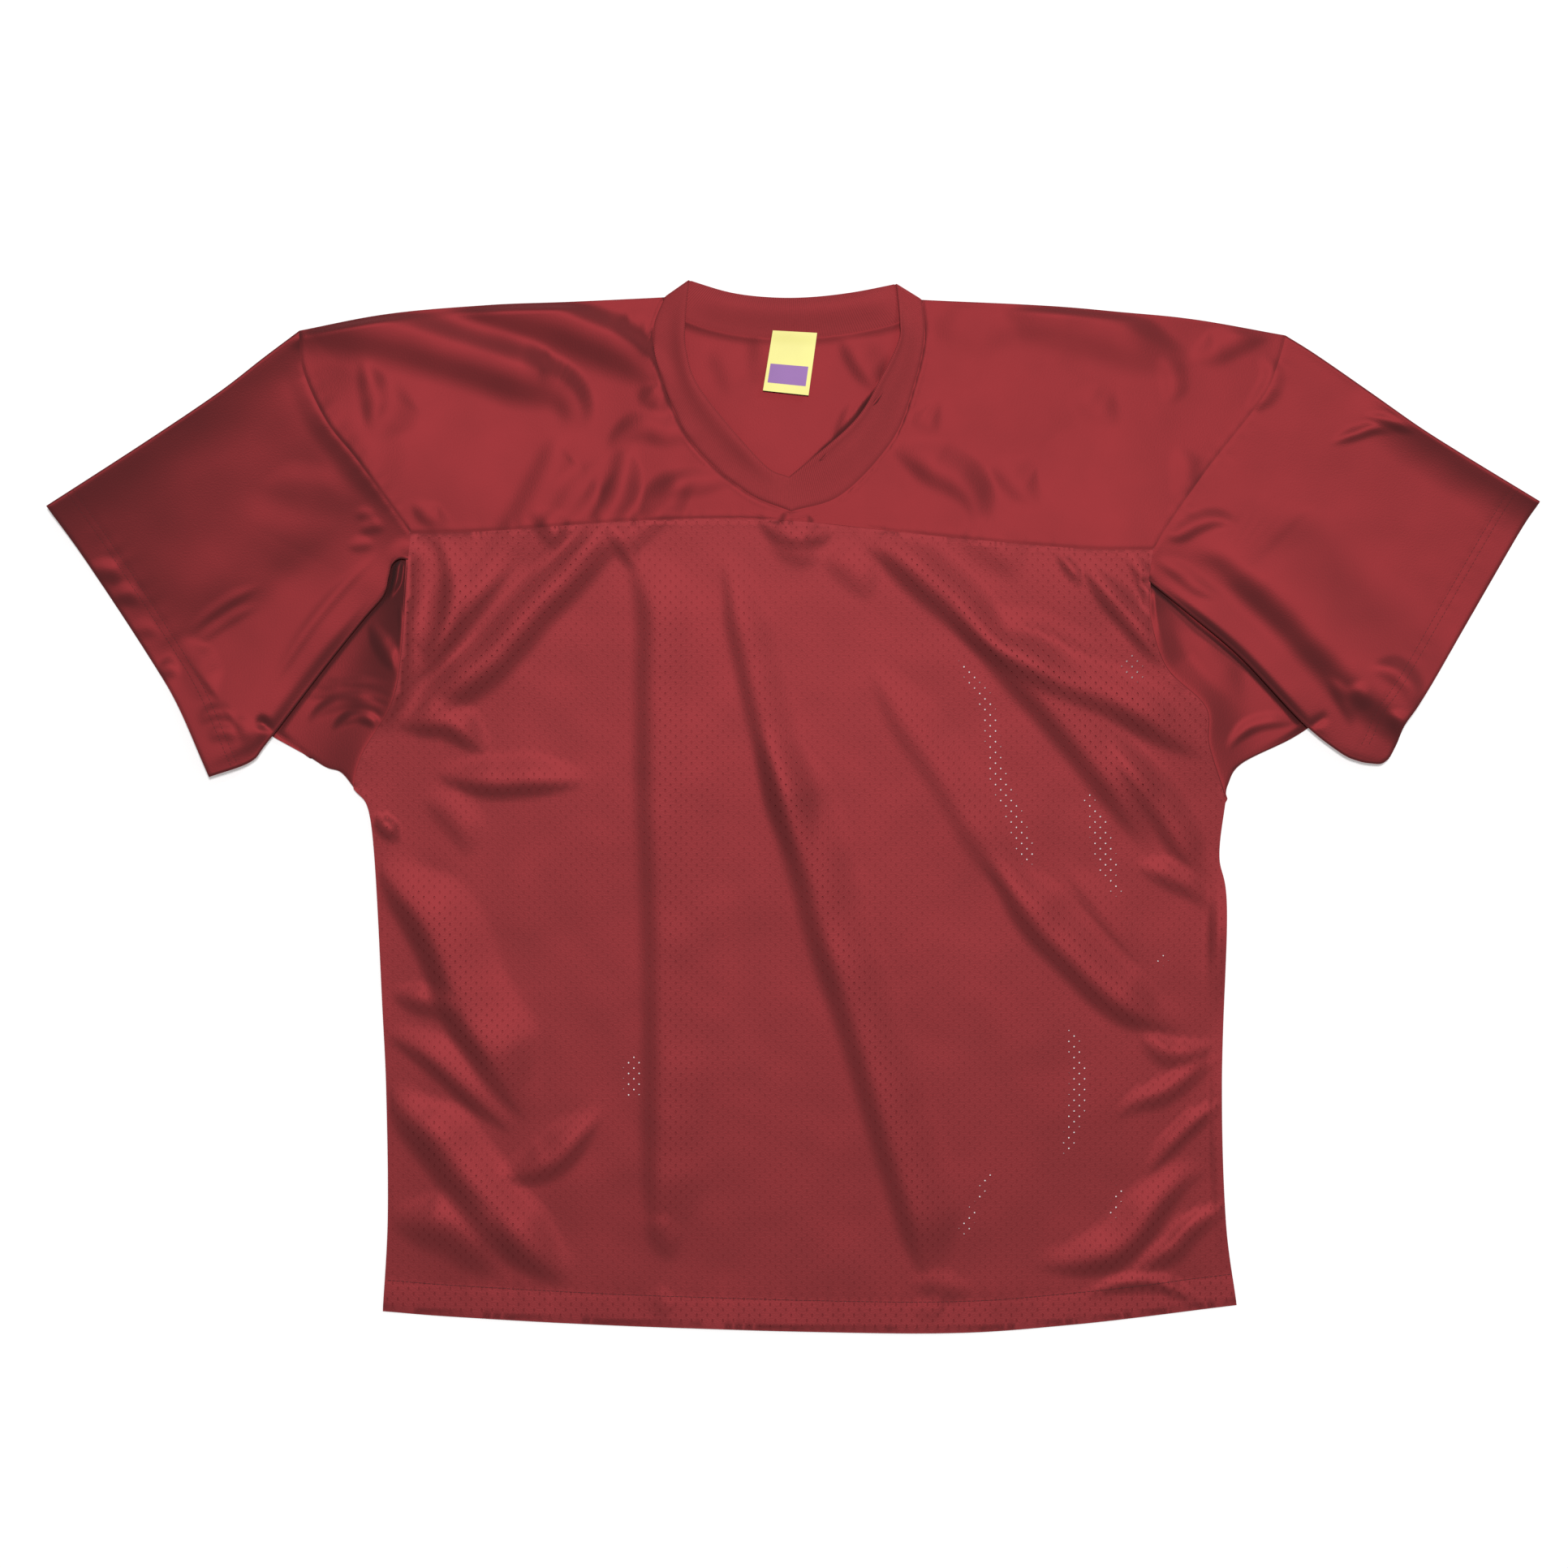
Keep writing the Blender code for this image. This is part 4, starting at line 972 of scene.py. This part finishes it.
def hole_centres(outline, shift):
    """Centres of the holes that fit inside an outline, clear of its edge."""
    low, high = outline.min(0), outline.max(0)
    columns = np.arange(int(low[0] / HOLE_COLUMN) - 1, int(high[0] / HOLE_COLUMN) + 2)
    rows = np.arange(int(low[1] / HOLE_ROW) - 2, int(high[1] / HOLE_ROW) + 3)
    column, row = np.meshgrid(columns, rows)
    x = (column + 0.5) * HOLE_COLUMN
    y = (row + 0.5 * (column % 2)) * HOLE_ROW + shift
    centres = np.stack([x, y], axis=-1).reshape(-1, 2)
    centres = centres[inside(centres, outline)]
    return centres[rim_distance(outline, *centres.T) > HOLE_SIZE[1] / 2 + HOLE_MARGIN]


def tile_border(low, high):
    """Points round a tile, where its neighbours have theirs."""
    across = np.linspace(low[0], high[0], TILE_COLUMNS + 1)
    down = np.linspace(low[1], high[1], 2 * TILE_ROWS + 1)
    bottom = [(x, low[1]) for x in across[:-1]]
    right = [(high[0], y) for y in down[:-1]]
    top = [(x, high[1]) for x in across[:0:-1]]
    left = [(low[0], y) for y in down[:0:-1]]
    return bottom + right + top + left


def knit_tile(low, high, outline, holes):
    """Triangles of one tile of mesh knit, as an array of three plan points each."""
    turn = np.linspace(0.0, 2 * np.pi, HOLE_SIDES, endpoint=False) + np.pi / HOLE_SIDES
    oval = np.column_stack([np.cos(turn), np.sin(turn)]) * HOLE_SIZE / 2
    points = tile_border(low, high)
    edges = [(k, (k + 1) % len(points)) for k in range(len(points))]
    after = np.roll(outline, -1, axis=0)
    touches = np.all((np.maximum(outline, after) >= low - TILE_MARGIN)
                     & (np.minimum(outline, after) <= high + TILE_MARGIN), axis=1)
    for a, b in zip(outline[touches], after[touches]):
        edges.append((len(points), len(points) + 1))
        points += [tuple(a), tuple(b)]
    faces = []
    for centre in holes:
        faces.append(list(range(len(points), len(points) + HOLE_SIDES)))
        points += [tuple(p) for p in centre + oval]
    result = delaunay_2d_cdt([Vector(p) for p in points], edges, faces, 0, MERGE, True)
    made = np.array([tuple(p) for p in result[0]])
    cloth = [face for face, source in zip(result[2], result[5]) if not source]
    if not cloth:
        return np.zeros((0, 3, 2))
    triangles = made[np.array(cloth)]
    middle = triangles.mean(axis=1)
    keep = np.all((middle > low) & (middle < high), axis=1)
    if touches.any() or not inside(middle[:1], outline)[0]:
        keep &= inside(middle, outline)
    return triangles[keep]


def knit(outline, shift):
    """Plan points and triangles of mesh knit inside an outline, with its columns shifted along."""
    centres = hole_centres(outline, shift)
    size = np.array([TILE_COLUMNS * HOLE_COLUMN, TILE_ROWS * HOLE_ROW])
    start = np.array([0.0, HOLE_ROW / 4 + shift])
    first = np.floor((outline.min(0) - start) / size).astype(int)
    last = np.floor((outline.max(0) - start) / size).astype(int)
    parts = []
    for i in range(first[0], last[0] + 1):
        for j in range(first[1], last[1] + 1):
            low = start + size * (i, j)
            high = low + size
            mine = np.all((centres > low) & (centres < high), axis=1)
            if mine.any() or np.any(np.all((outline > low) & (outline < high), axis=1)):
                parts.append(knit_tile(low, high, outline, centres[mine]))
    corners = np.round(np.concatenate(parts).reshape(-1, 2), 3)
    plan, index = np.unique(corners, axis=0, return_inverse=True)
    faces = index.reshape(-1, 3)
    faces = faces[np.all(faces != np.roll(faces, 1, axis=1), axis=1)]
    a, b, c = plan[faces.T]
    area = (b[:, 0] - a[:, 0]) * (c[:, 1] - a[:, 1]) - (b[:, 1] - a[:, 1]) * (c[:, 0] - a[:, 0])
    faces[area < 0] = faces[area < 0][:, ::-1]
    return plan, faces[np.abs(area) > LEAST_AREA]


def body_outline(tuck):
    """Outline of a body panel, with its sewn edges carried a little way under their neighbours."""
    yoke = offset(curve("yoke_seam"), tuck)
    left, right = (join(offset(join(curve("underarm_" + side), curve("gusset_seam_" + side)), way),
                        curve("side_" + side)) for side, way in (("left", tuck), ("right", -tuck)))
    sides = [shares(line, np.linspace(0, 1, int(travelled(line)[-1] / OUTLINE_STEP) + 1))[:-1]
             for line in (yoke, left, curve("hem")[::-1], right[::-1])]
    return np.vstack(sides)


def see_through(x, y):
    """How far the holes of both layers fall on each other: OVERLAP in the strips, 0 elsewhere."""
    share = np.zeros(np.shape(x))
    for width, path in SEE_THROUGH:
        far = distance_to(smooth(path, steps=4), x, y)[0]
        share = np.maximum(share, 1.0 - ease((far - width / 2) / OVERLAP_FADE))
    return OVERLAP * share


def hem_grid():
    """Plan grid of the hem, from just inside its edge to a little past its stitches."""
    edge = shares(curve("hem"), np.linspace(TURN_ENDS, 1.0 - TURN_ENDS, 221))
    return np.stack([offset(edge, d) for d in np.linspace(TURN_INSET, HEM_DEPTH + TURN_PAST, 11)])


def build_body():
    """Front and back of mesh knit, each with its hem turned up behind it."""
    outline = body_outline(SEAM_TUCK)
    plan, faces = knit(outline, 0.0)
    x, y = plan.T
    front = mesh_object("front_body_knit", lift_to(plan, body_top(x, y)), faces.tolist(),
                        FINISH["mesh"], grain(plan))
    front.data.normals_split_custom_set_from_vertices(normals_of(body_top, x, y))
    place(front, "front_body")
    plan, faces = knit(outline, HOLE_ROW / 2)
    x, y = plan.T
    clear = ease(rim_distance(outline, x, y) / OVERLAP_RIM)
    shifted = np.column_stack([x, y - HOLE_ROW / 2 * see_through(x, y) * clear])
    back = mesh_object("back_body_knit", lift_to(shifted, back_surface(x, y)),
                       faces[:, ::-1].tolist(), FINISH["mesh"], grain(plan))
    place(back, "back_body")
    grid = hem_grid()
    x, y = grid[..., 0], grid[..., 1]
    for node, over in (("front_body", front_surface(x, y, FRONT_MESH)),
                       ("back_body", back_surface(x, y))):
        over = np.maximum(over - HEM_GAP, TURN + TURN_GAP)
        shell(node + "_hem_turn", grid, over, TURN, "mesh", node)


# Dazzle pieces ----------------------------------------------------------------------------

def yoke_grid(neck, step):
    """Plan grid of a yoke, with a column of points at either end of its neck."""
    right, left = curve("shoulder_right"), curve("shoulder_left")
    top = join(right, neck, left[::-1])
    length = travelled(top)[-1]
    u = spread(length, step)
    v = spread(travelled(curve("armhole_left"))[-1], step)
    for share in (travelled(right)[-1] / length, (length - travelled(left)[-1]) / length):
        u[np.argmin(np.abs(u - share))] = share
    return coons(top, curve("yoke_seam"), curve("armhole_right"), curve("armhole_left"), u, v)


def build_yokes():
    grid = yoke_grid(join(curve("neck_right"), curve("neck_left")[::-1]), STEP)
    x, y = grid[..., 0], grid[..., 1]
    over = np.maximum(front_surface(x, y, FRONT_DAZZLE),
                      BACK_MESH + SKIN + YOKE_GAP + base_lift(x, y))
    front = shell("front_yoke_cloth", grid, over, SKIN, "dazzle", "front_yoke")
    grid = yoke_grid(curve("back_neck_seam"), BACK_STEP)
    x, y = grid[..., 0], grid[..., 1]
    far = distance_to(curve("back_neck_seam", steps=6), x, y)[0]
    over = BACK_MESH + base_lift(x, y) + NECK_WELT * bell(far / WELT_REACH)
    for fold in BACK_YOKE_FOLDS:
        over = over + fold_form(fold, x, y)
    back = shell("back_yoke_cloth", grid, over, SKIN, "dazzle", "back_yoke")


def folded(grid, high, low, first, last):
    """Stations of an upper wall, of a fold at the last row, and of a coarser lower wall."""
    stations = [station(grid[k], high[k], 1.0) for k in range(first, last + 1)]
    stations += nose(grid[-1], grid[-1 - NOSE_BESIDE], high[last], low[last])
    stations += [station(grid[k], low[k], -1.0) for k in range(last, first - 1, -LOW_STRIDE)]
    return stations


def build_sleeve(side):
    """A flattened tube, folded at its top edge and at the underarm."""
    armhole = join(curve("armhole_" + side), curve("underarm_" + side))
    top, cuff, fold = (curve(name + side) for name in ("sleeve_top_", "cuff_", "sleeve_fold_"))
    grid = coons(armhole, cuff, top, fold, spread(travelled(armhole)[-1]),
                 spread(travelled(top)[-1])).transpose(1, 0, 2)
    x, y = grid[..., 0], grid[..., 1]
    low = FLOOR_GAP + SKIN / 2 + base_lift(x, y)
    high = np.maximum(front_surface(x, y, FRONT_DAZZLE) - SKIN / 2, low + SKIN + LAYER_GAP)
    first, last = NOSE_ROWS, len(grid) - 1 - NOSE_ROWS
    turned = nose(grid[0], grid[NOSE_BESIDE], high[first], low[first])
    stations = turned[::-1] + folded(grid, high, low, first, last)
    sleeve = wall(f"sleeve_{side}_cloth", stations, True, "sleeve_" + side, turn=SLEEVE_GRAIN)


def gusset_grid(seam, fold, bottom, outward):
    """Plan grid of a gusset, carried a little way under its sleeve."""
    mirror = (outward, 1.0)
    tucked = (shares(fold, np.linspace(0.0, 1.0, 60))
              + np.array(TUCK_DIRECTION) * mirror * GUSSET_TUCK)
    tucked[0] = seam[0] + np.array(TUCK_START) * mirror * GUSSET_TUCK * TUCK_START_SHARE
    tucked[-1] = bottom[0]
    u, v = spread(travelled(bottom)[-1]), spread(travelled(seam)[-1])
    return coons(np.array([tucked[0], seam[0]]), bottom, tucked, seam, u, v)


def gusset_top(side, grid, seam, fold, outward):
    """Height of the middle of a gusset's upper wall, which meets the body's at their seam."""
    x, y = grid[..., 0], grid[..., 1]
    rise, reach, widths = CREVICES[side]
    far, hand, share = distance_to(fold, x, y)
    far = np.maximum(-outward * hand * far, 0.0)
    width = np.interp(share, np.linspace(0.0, 1.0, len(widths)), widths)
    puff = sum(fold_form(line, x, y) for line in GUSSET_FOLDS[side])
    puff = (puff + rise * bell(far / reach)) * ramp(far / width)
    to_seam, _, seam_share = distance_to(seam, x, y)
    seam_x, seam_y = shares(seam, seam_share.ravel()).T.reshape(2, *x.shape)
    edge = EDGE_LIFT(seam_x, seam_y)
    body = front_surface(seam_x, seam_y, FRONT_DAZZLE) - FRONT_DAZZLE - edge
    lift = (edge + body * bell(to_seam / SEAM_EASE)) * far / (far + to_seam + 0.01)  # never 0 / 0
    rim = np.minimum(distance_to(grid[-1], x, y)[0], to_seam)
    drop = GUSSET_DROP * (1 - rounded(rim / GUSSET_ROLL))
    return FRONT_DAZZLE - SKIN / 2 - drop + puff * ease(rim / GUSSET_FADE) + lift


def build_gusset(side):
    """An underarm panel folded in two along the outline."""
    outward = -1.0 if side == "right" else 1.0
    seam, bottom, fold = curve("gusset_seam_" + side), curve("gusset_fold_" + side), underarm(side)
    grid = gusset_grid(seam, fold, bottom, outward)
    low = np.full(grid.shape[:2], FLOOR_GAP + SKIN / 2)
    high = np.maximum(gusset_top(side, grid, seam, fold, outward), low + SKIN + LAYER_GAP)
    stations = folded(grid, high, low, 0, len(grid) - 1 - NOSE_ROWS)
    if side == "left":
        stations = [(points[::-1], normals[::-1]) for points, normals in stations]
    gusset = wall(f"gusset_{side}_cloth", stations, False, "gusset_" + side)


# Collar and label -------------------------------------------------------------------------

def collar_bands():
    """Plan of the collar's front and back bands, each from inner edge to seam."""
    along = np.linspace(0.0, 1.0, COLLAR_ROWS)
    across = np.array(BAND_SHARES)[None, :, None]
    inner, outer = (join(shares(curve(name + "right"), along),
                         shares(curve(name + "left"), along)[::-1])
                    for name in ("collar_inner_", "neck_"))
    front = (1 - across) * inner[:, None] + across * outer[:, None]
    inner, outer = (shares(curve(name), along) for name in ("back_neck_edge", "back_neck_seam"))
    back = (1 - across) * inner[:, None] + across * outer[:, None]
    return front, back


def collar_top(plan, across, stand):
    """Height of the middle of the collar's front band."""
    rim = rounded(across / COLLAR_ROLL_SHARE)
    seam = rounded((1.0 - across) / COLLAR_ROLL_SHARE)
    level = COLLAR_BASE + COLLAR_ROLL * rim + COLLAR_ROLL * seam - COLLAR_SETTLE
    return level + stand + RELIEF(plan[..., 0], plan[..., 1])


def collar_fall(arm, across):
    """How much of its stand the collar keeps from its inner edge outwards."""
    (even, at, width), (soft, soft_at, soft_width) = COLLAR_FALL[arm]
    return 1.0 - even * ramp((across - at) / width) - soft * ease((across - soft_at) / soft_width)


def build_collar():
    """A ring of doubled rib, flattened: its front half lies in a V over its back half."""
    front, back = collar_bands()
    across = np.array(BAND_SHARES)
    # The rib thins out round its inner edge and again towards the seam.
    thickness = COLLAR_THICK * rounded((across + 0.01) / 0.08) + COLLAR_THIN
    thickness = thickness * (1.0 - 0.4 * ease((across - 0.9) / 0.1))
    last = COLLAR_ROWS - 1
    stations = []
    for k in range(1, len(front) - 1):
        arm, share = (0, k / last) if k <= last else (1, 2.0 - k / last)
        stand = COLLAR_STAND[arm] * ease(np.sin(np.pi * share) * 1.3) * collar_fall(arm, across)
        stations.append(station(front[k], collar_top(front[k], across, stand), 1.0))
    low, high = np.full(len(across), COLLAR_LOW), np.full(len(across), COLLAR_HIGH)
    ends = [nose(end, end - (0.0, 1.0), high, low) for end in (front[-1], front[0])]
    stand = BACK_STAND * ease((1.0 - across) / 0.75) * (0.55 + 0.45 * ease(across / 0.25))
    behind = [station(back[k], low + stand * ease(1.6 * np.sin(np.pi * k / last)), -1.0)
              for k in range(last - 1, 0, -1)]
    stations += ends[0] + behind + ends[1][::-1]
    along = travelled(np.array([points[0] for points, _ in stations]))
    uv = np.dstack(np.meshgrid(across * (COLLAR_WIDTH * MM), along * MM)[::-1])
    collar = wall("collar_rib", stations, True, "collar", "rib", thickness, uv)


def label_points(down, across, rows, columns):
    """Points of the label's top between two shares down and two shares across."""
    v, u = np.meshgrid(np.linspace(*down, rows), np.linspace(*across, columns), indexing="ij")
    a, b, c, d = np.array(LABEL_CORNERS, float)
    u3, v3 = u[..., None], v[..., None]
    plan = (1 - v3) * ((1 - u3) * a + u3 * b) + v3 * ((1 - u3) * d + u3 * c)
    height = LABEL_HEIGHT - LABEL_DIP * ease(v * 4.0) + LABEL_CURL * v ** 2
    return lift_to(plan, height + LABEL_CORNER_CURL * v * (2 * u - 1) ** 2)


def build_label():
    """A folded woven label with a plain block, sewn into the back neck seam."""
    top = label_points((0.0, 1.0), (0.0, 1.0), 33, 25)
    label = shell("neck_label_cloth", top[..., :2], top[..., 2], LABEL_SKIN, "label", "neck_label")
    over = label_points(BLOCK_DOWN, BLOCK_ACROSS, 12, 16) + (0.0, 0.0, BLOCK_LIFT)
    block = skins("neck_label_block", over, over - (0.0, 0.0, BLOCK_SKIN), FINISH["block"],
                  grain(over))
    place(block)


# Stitches ---------------------------------------------------------------------------------

def stitches(name, lines, surface, length=2.6, pitch=3.6, width=0.5, thread="thread"):
    """Rows of stitches as small beads on a surface."""
    vertices, faces = [], []
    turn = np.linspace(0.0, 2 * np.pi, BEAD_SIDES, endpoint=False)
    for line in lines:
        starts = np.arange(pitch / 2, travelled(line)[-1] - length, pitch)
        for p, q in zip(at_lengths(line, starts), at_lengths(line, starts + length)):
            along = (q - p) / np.linalg.norm(q - p)
            square = np.array([-along[1], along[0]])
            first = len(vertices)
            for share, size in BEAD:
                middle = p + (q - p) * share
                z = float(surface(*middle)) + BEAD_RISE
                for angle in turn:
                    flat = middle + square * math.cos(angle) * width / 2 * size
                    vertices.append((*flat, z + math.sin(angle) * width / 2 * size))
            last = len(vertices) - BEAD_SIDES
            for ring in range(first, last, BEAD_SIDES):
                for k in range(BEAD_SIDES):
                    here, beside = ring + k, ring + (k + 1) % BEAD_SIDES
                    faces.append((here, beside, beside + BEAD_SIDES, here + BEAD_SIDES))
            faces.append(tuple(range(first + BEAD_SIDES - 1, first - 1, -1)))
            faces.append(tuple(range(last, last + BEAD_SIDES)))
    made = mesh_object(name, vertices, faces, FINISH[thread], smooth_angle=180.0)
    place(made)


def build_stitches():
    hem, right, left = curve("hem"), curve("cuff_right"), curve("cuff_left")
    stitches("hem_stitches", [offset(hem, HEM_DEPTH)],
             lambda x, y: front_surface(x, y, FRONT_MESH), length=3.3, width=0.55)
    cuffs = [offset(line, hand * depth) for line, hand in ((right, 1), (left, -1))
             for depth in (HEM_DEPTH, CUFF_ROW)]
    stitches("cuff_stitches", cuffs,
             lambda x, y: front_surface(x, y, FRONT_DAZZLE) - CUFF_THREAD_SINK,
             width=0.4)
    stitches("neck_tack", [np.array(NECK_TACK)], lambda x, y: TACK_HEIGHT,
             length=2.4, pitch=2.8, width=0.7, thread="rib")


# Materials, lights and camera -------------------------------------------------------------

def fill(node, **values):
    """Set a node's sockets, named with underscores for spaces."""
    for name, value in values.items():
        node.inputs[name.replace("_", " ")].default_value = value
    return node


def cloth(name, colour, roughness, metallic=0.0, grain_size=900.0, grain_depth=0.0001, wales=0.0,
          glint=(1.0, 1.0, 1.0), satin=0.0, bloom=0.0):
    """A cloth finish with a fine grain. wales gives the pitch of its ribs in metres, satin
    spreads its sheen across the cloth more than along it, and bloom is the weight of a pale
    matt coat."""
    made = bpy.data.materials.new(name)
    made.use_nodes = True
    nodes = made.node_tree.nodes
    shader = fill(nodes["Principled BSDF"], Roughness=roughness, Metallic=metallic,
                  Specular_Tint=(*glint, 1.0), Coat_Weight=bloom, Coat_Roughness=1.0,
                  Coat_IOR=1.55)
    wires = []
    if satin:
        thread = nodes.new("ShaderNodeTangent")
        thread.direction_type = "UV_MAP"
        thread.uv_map = "cloth"
        fill(shader, Anisotropic=satin, Anisotropic_Rotation=0.25)
        wires.append((thread, "Tangent", shader, "Tangent"))
    where = nodes.new("ShaderNodeUVMap")
    where.uv_map = "cloth"
    tint = fill(nodes.new("ShaderNodeTexNoise"), Scale=22.0, Detail=3.0)
    tones = nodes.new("ShaderNodeValToRGB")
    for tone, position, change in zip(tones.color_ramp.elements, (0.3, 0.7), (0.95, 1.05)):
        tone.position = position
        tone.color = (*[min(1.0, c * change) for c in colour], 1.0)
    fine = fill(nodes.new("ShaderNodeTexNoise"), Scale=grain_size, Detail=2.0)
    bump = fill(nodes.new("ShaderNodeBump"), Distance=grain_depth, Strength=1.0)
    wires += [(where, "UV", tint, "Vector"), (where, "UV", fine, "Vector"),
              (tint, "Fac", tones, "Fac"), (tones, "Color", shader, "Base Color"),
              (fine, "Fac", bump, "Height"), (bump, "Normal", shader, "Normal")]
    if wales:
        rows = fill(nodes.new("ShaderNodeTexWave"), Scale=2 * math.pi / (20.0 * wales))
        rows.bands_direction = "X"
        ridge = fill(nodes.new("ShaderNodeBump"), Distance=grain_depth * 1.5)
        wires += [(where, "UV", rows, "Vector"), (rows, "Fac", ridge, "Height"),
                  (ridge, "Normal", bump, "Normal")]
    for source, output, target, entry in wires:
        made.node_tree.links.new(source.outputs[output], target.inputs[entry])
    return made


def build_stage():
    scene = bpy.context.scene
    scene.view_settings.view_transform = "Standard"
    world = bpy.data.worlds.new("studio")
    world.use_nodes = True
    scene.world = world
    fill(world.node_tree.nodes["Background"], Color=(1.0, 0.98, 0.97, 1.0), Strength=0.20)
    for name, place_at, diameter, power in LIGHTS:
        light = bpy.data.lights.new(name, "AREA")
        light.shape, light.size, light.energy = "DISK", diameter, power
        lamp = bpy.data.objects.new(name, light)
        lamp.location = place_at
        lamp.rotation_euler = (-Vector(place_at)).to_track_quat("-Z", "Y").to_euler()
        scene.collection.objects.link(lamp)
    camera = bpy.data.cameras.new("camera")
    camera.lens, camera.sensor_width = LENS, SENSOR
    view = bpy.data.objects.new("camera", camera)
    view.location = (*VIEW_CENTRE, VIEW_SIDE * LENS / SENSOR)
    scene.collection.objects.link(view)
    scene.camera = view
    mesh = bpy.data.meshes.new("floor")
    corners = [(x * FLOOR_REACH, y * FLOOR_REACH, 0.0) for x, y in
               ((-1, -1), (1, -1), (1, 1), (-1, 1))]
    mesh.from_pydata(corners, [], [(0, 1, 2, 3)])
    paper = bpy.data.materials.new("floor")
    paper.use_nodes = True
    fill(paper.node_tree.nodes["Principled BSDF"], Base_Color=(0.95, 0.95, 0.95, 1.0),
         Roughness=1.0, Specular_IOR_Level=0.0, Emission_Color=(1.0, 1.0, 1.0, 1.0),
         Emission_Strength=0.28)
    mesh.materials.append(paper)
    floor = bpy.data.objects.new("floor", mesh)
    scene.collection.objects.link(floor)


RED = {"glint": (1.0, 0.2, 0.22), "bloom": 1.0}
FINISH = {
    "dazzle": cloth("dazzle", (0.168, 0.0124, 0.0153), 0.52, 0.74, 700.0, 0.00006,
                    satin=0.6, **RED),
    "mesh": cloth("mesh", (0.184, 0.0143, 0.0174), 0.48, 0.38, 700.0, 0.0001, **RED),
    "rib": cloth("rib", (0.300, 0.024, 0.029), 0.62, 0.45, 700.0, 0.0001, wales=0.0016, **RED),
    "thread": cloth("thread", (0.11, 0.012, 0.014), 0.7, 0.0, 1500.0, 0.00002),
    "label": cloth("label", (0.98, 0.90, 0.24), 0.45, 0.0, 1500.0, 0.00004),
    "block": cloth("label_block", (0.36, 0.17, 0.48), 0.6, 0.0, 1500.0, 0.00004),
}

build_body()
build_yokes()
for wearer_side in SIDES:
    build_gusset(wearer_side)
    build_sleeve(wearer_side)
build_collar()
build_label()
build_stitches()
build_stage()
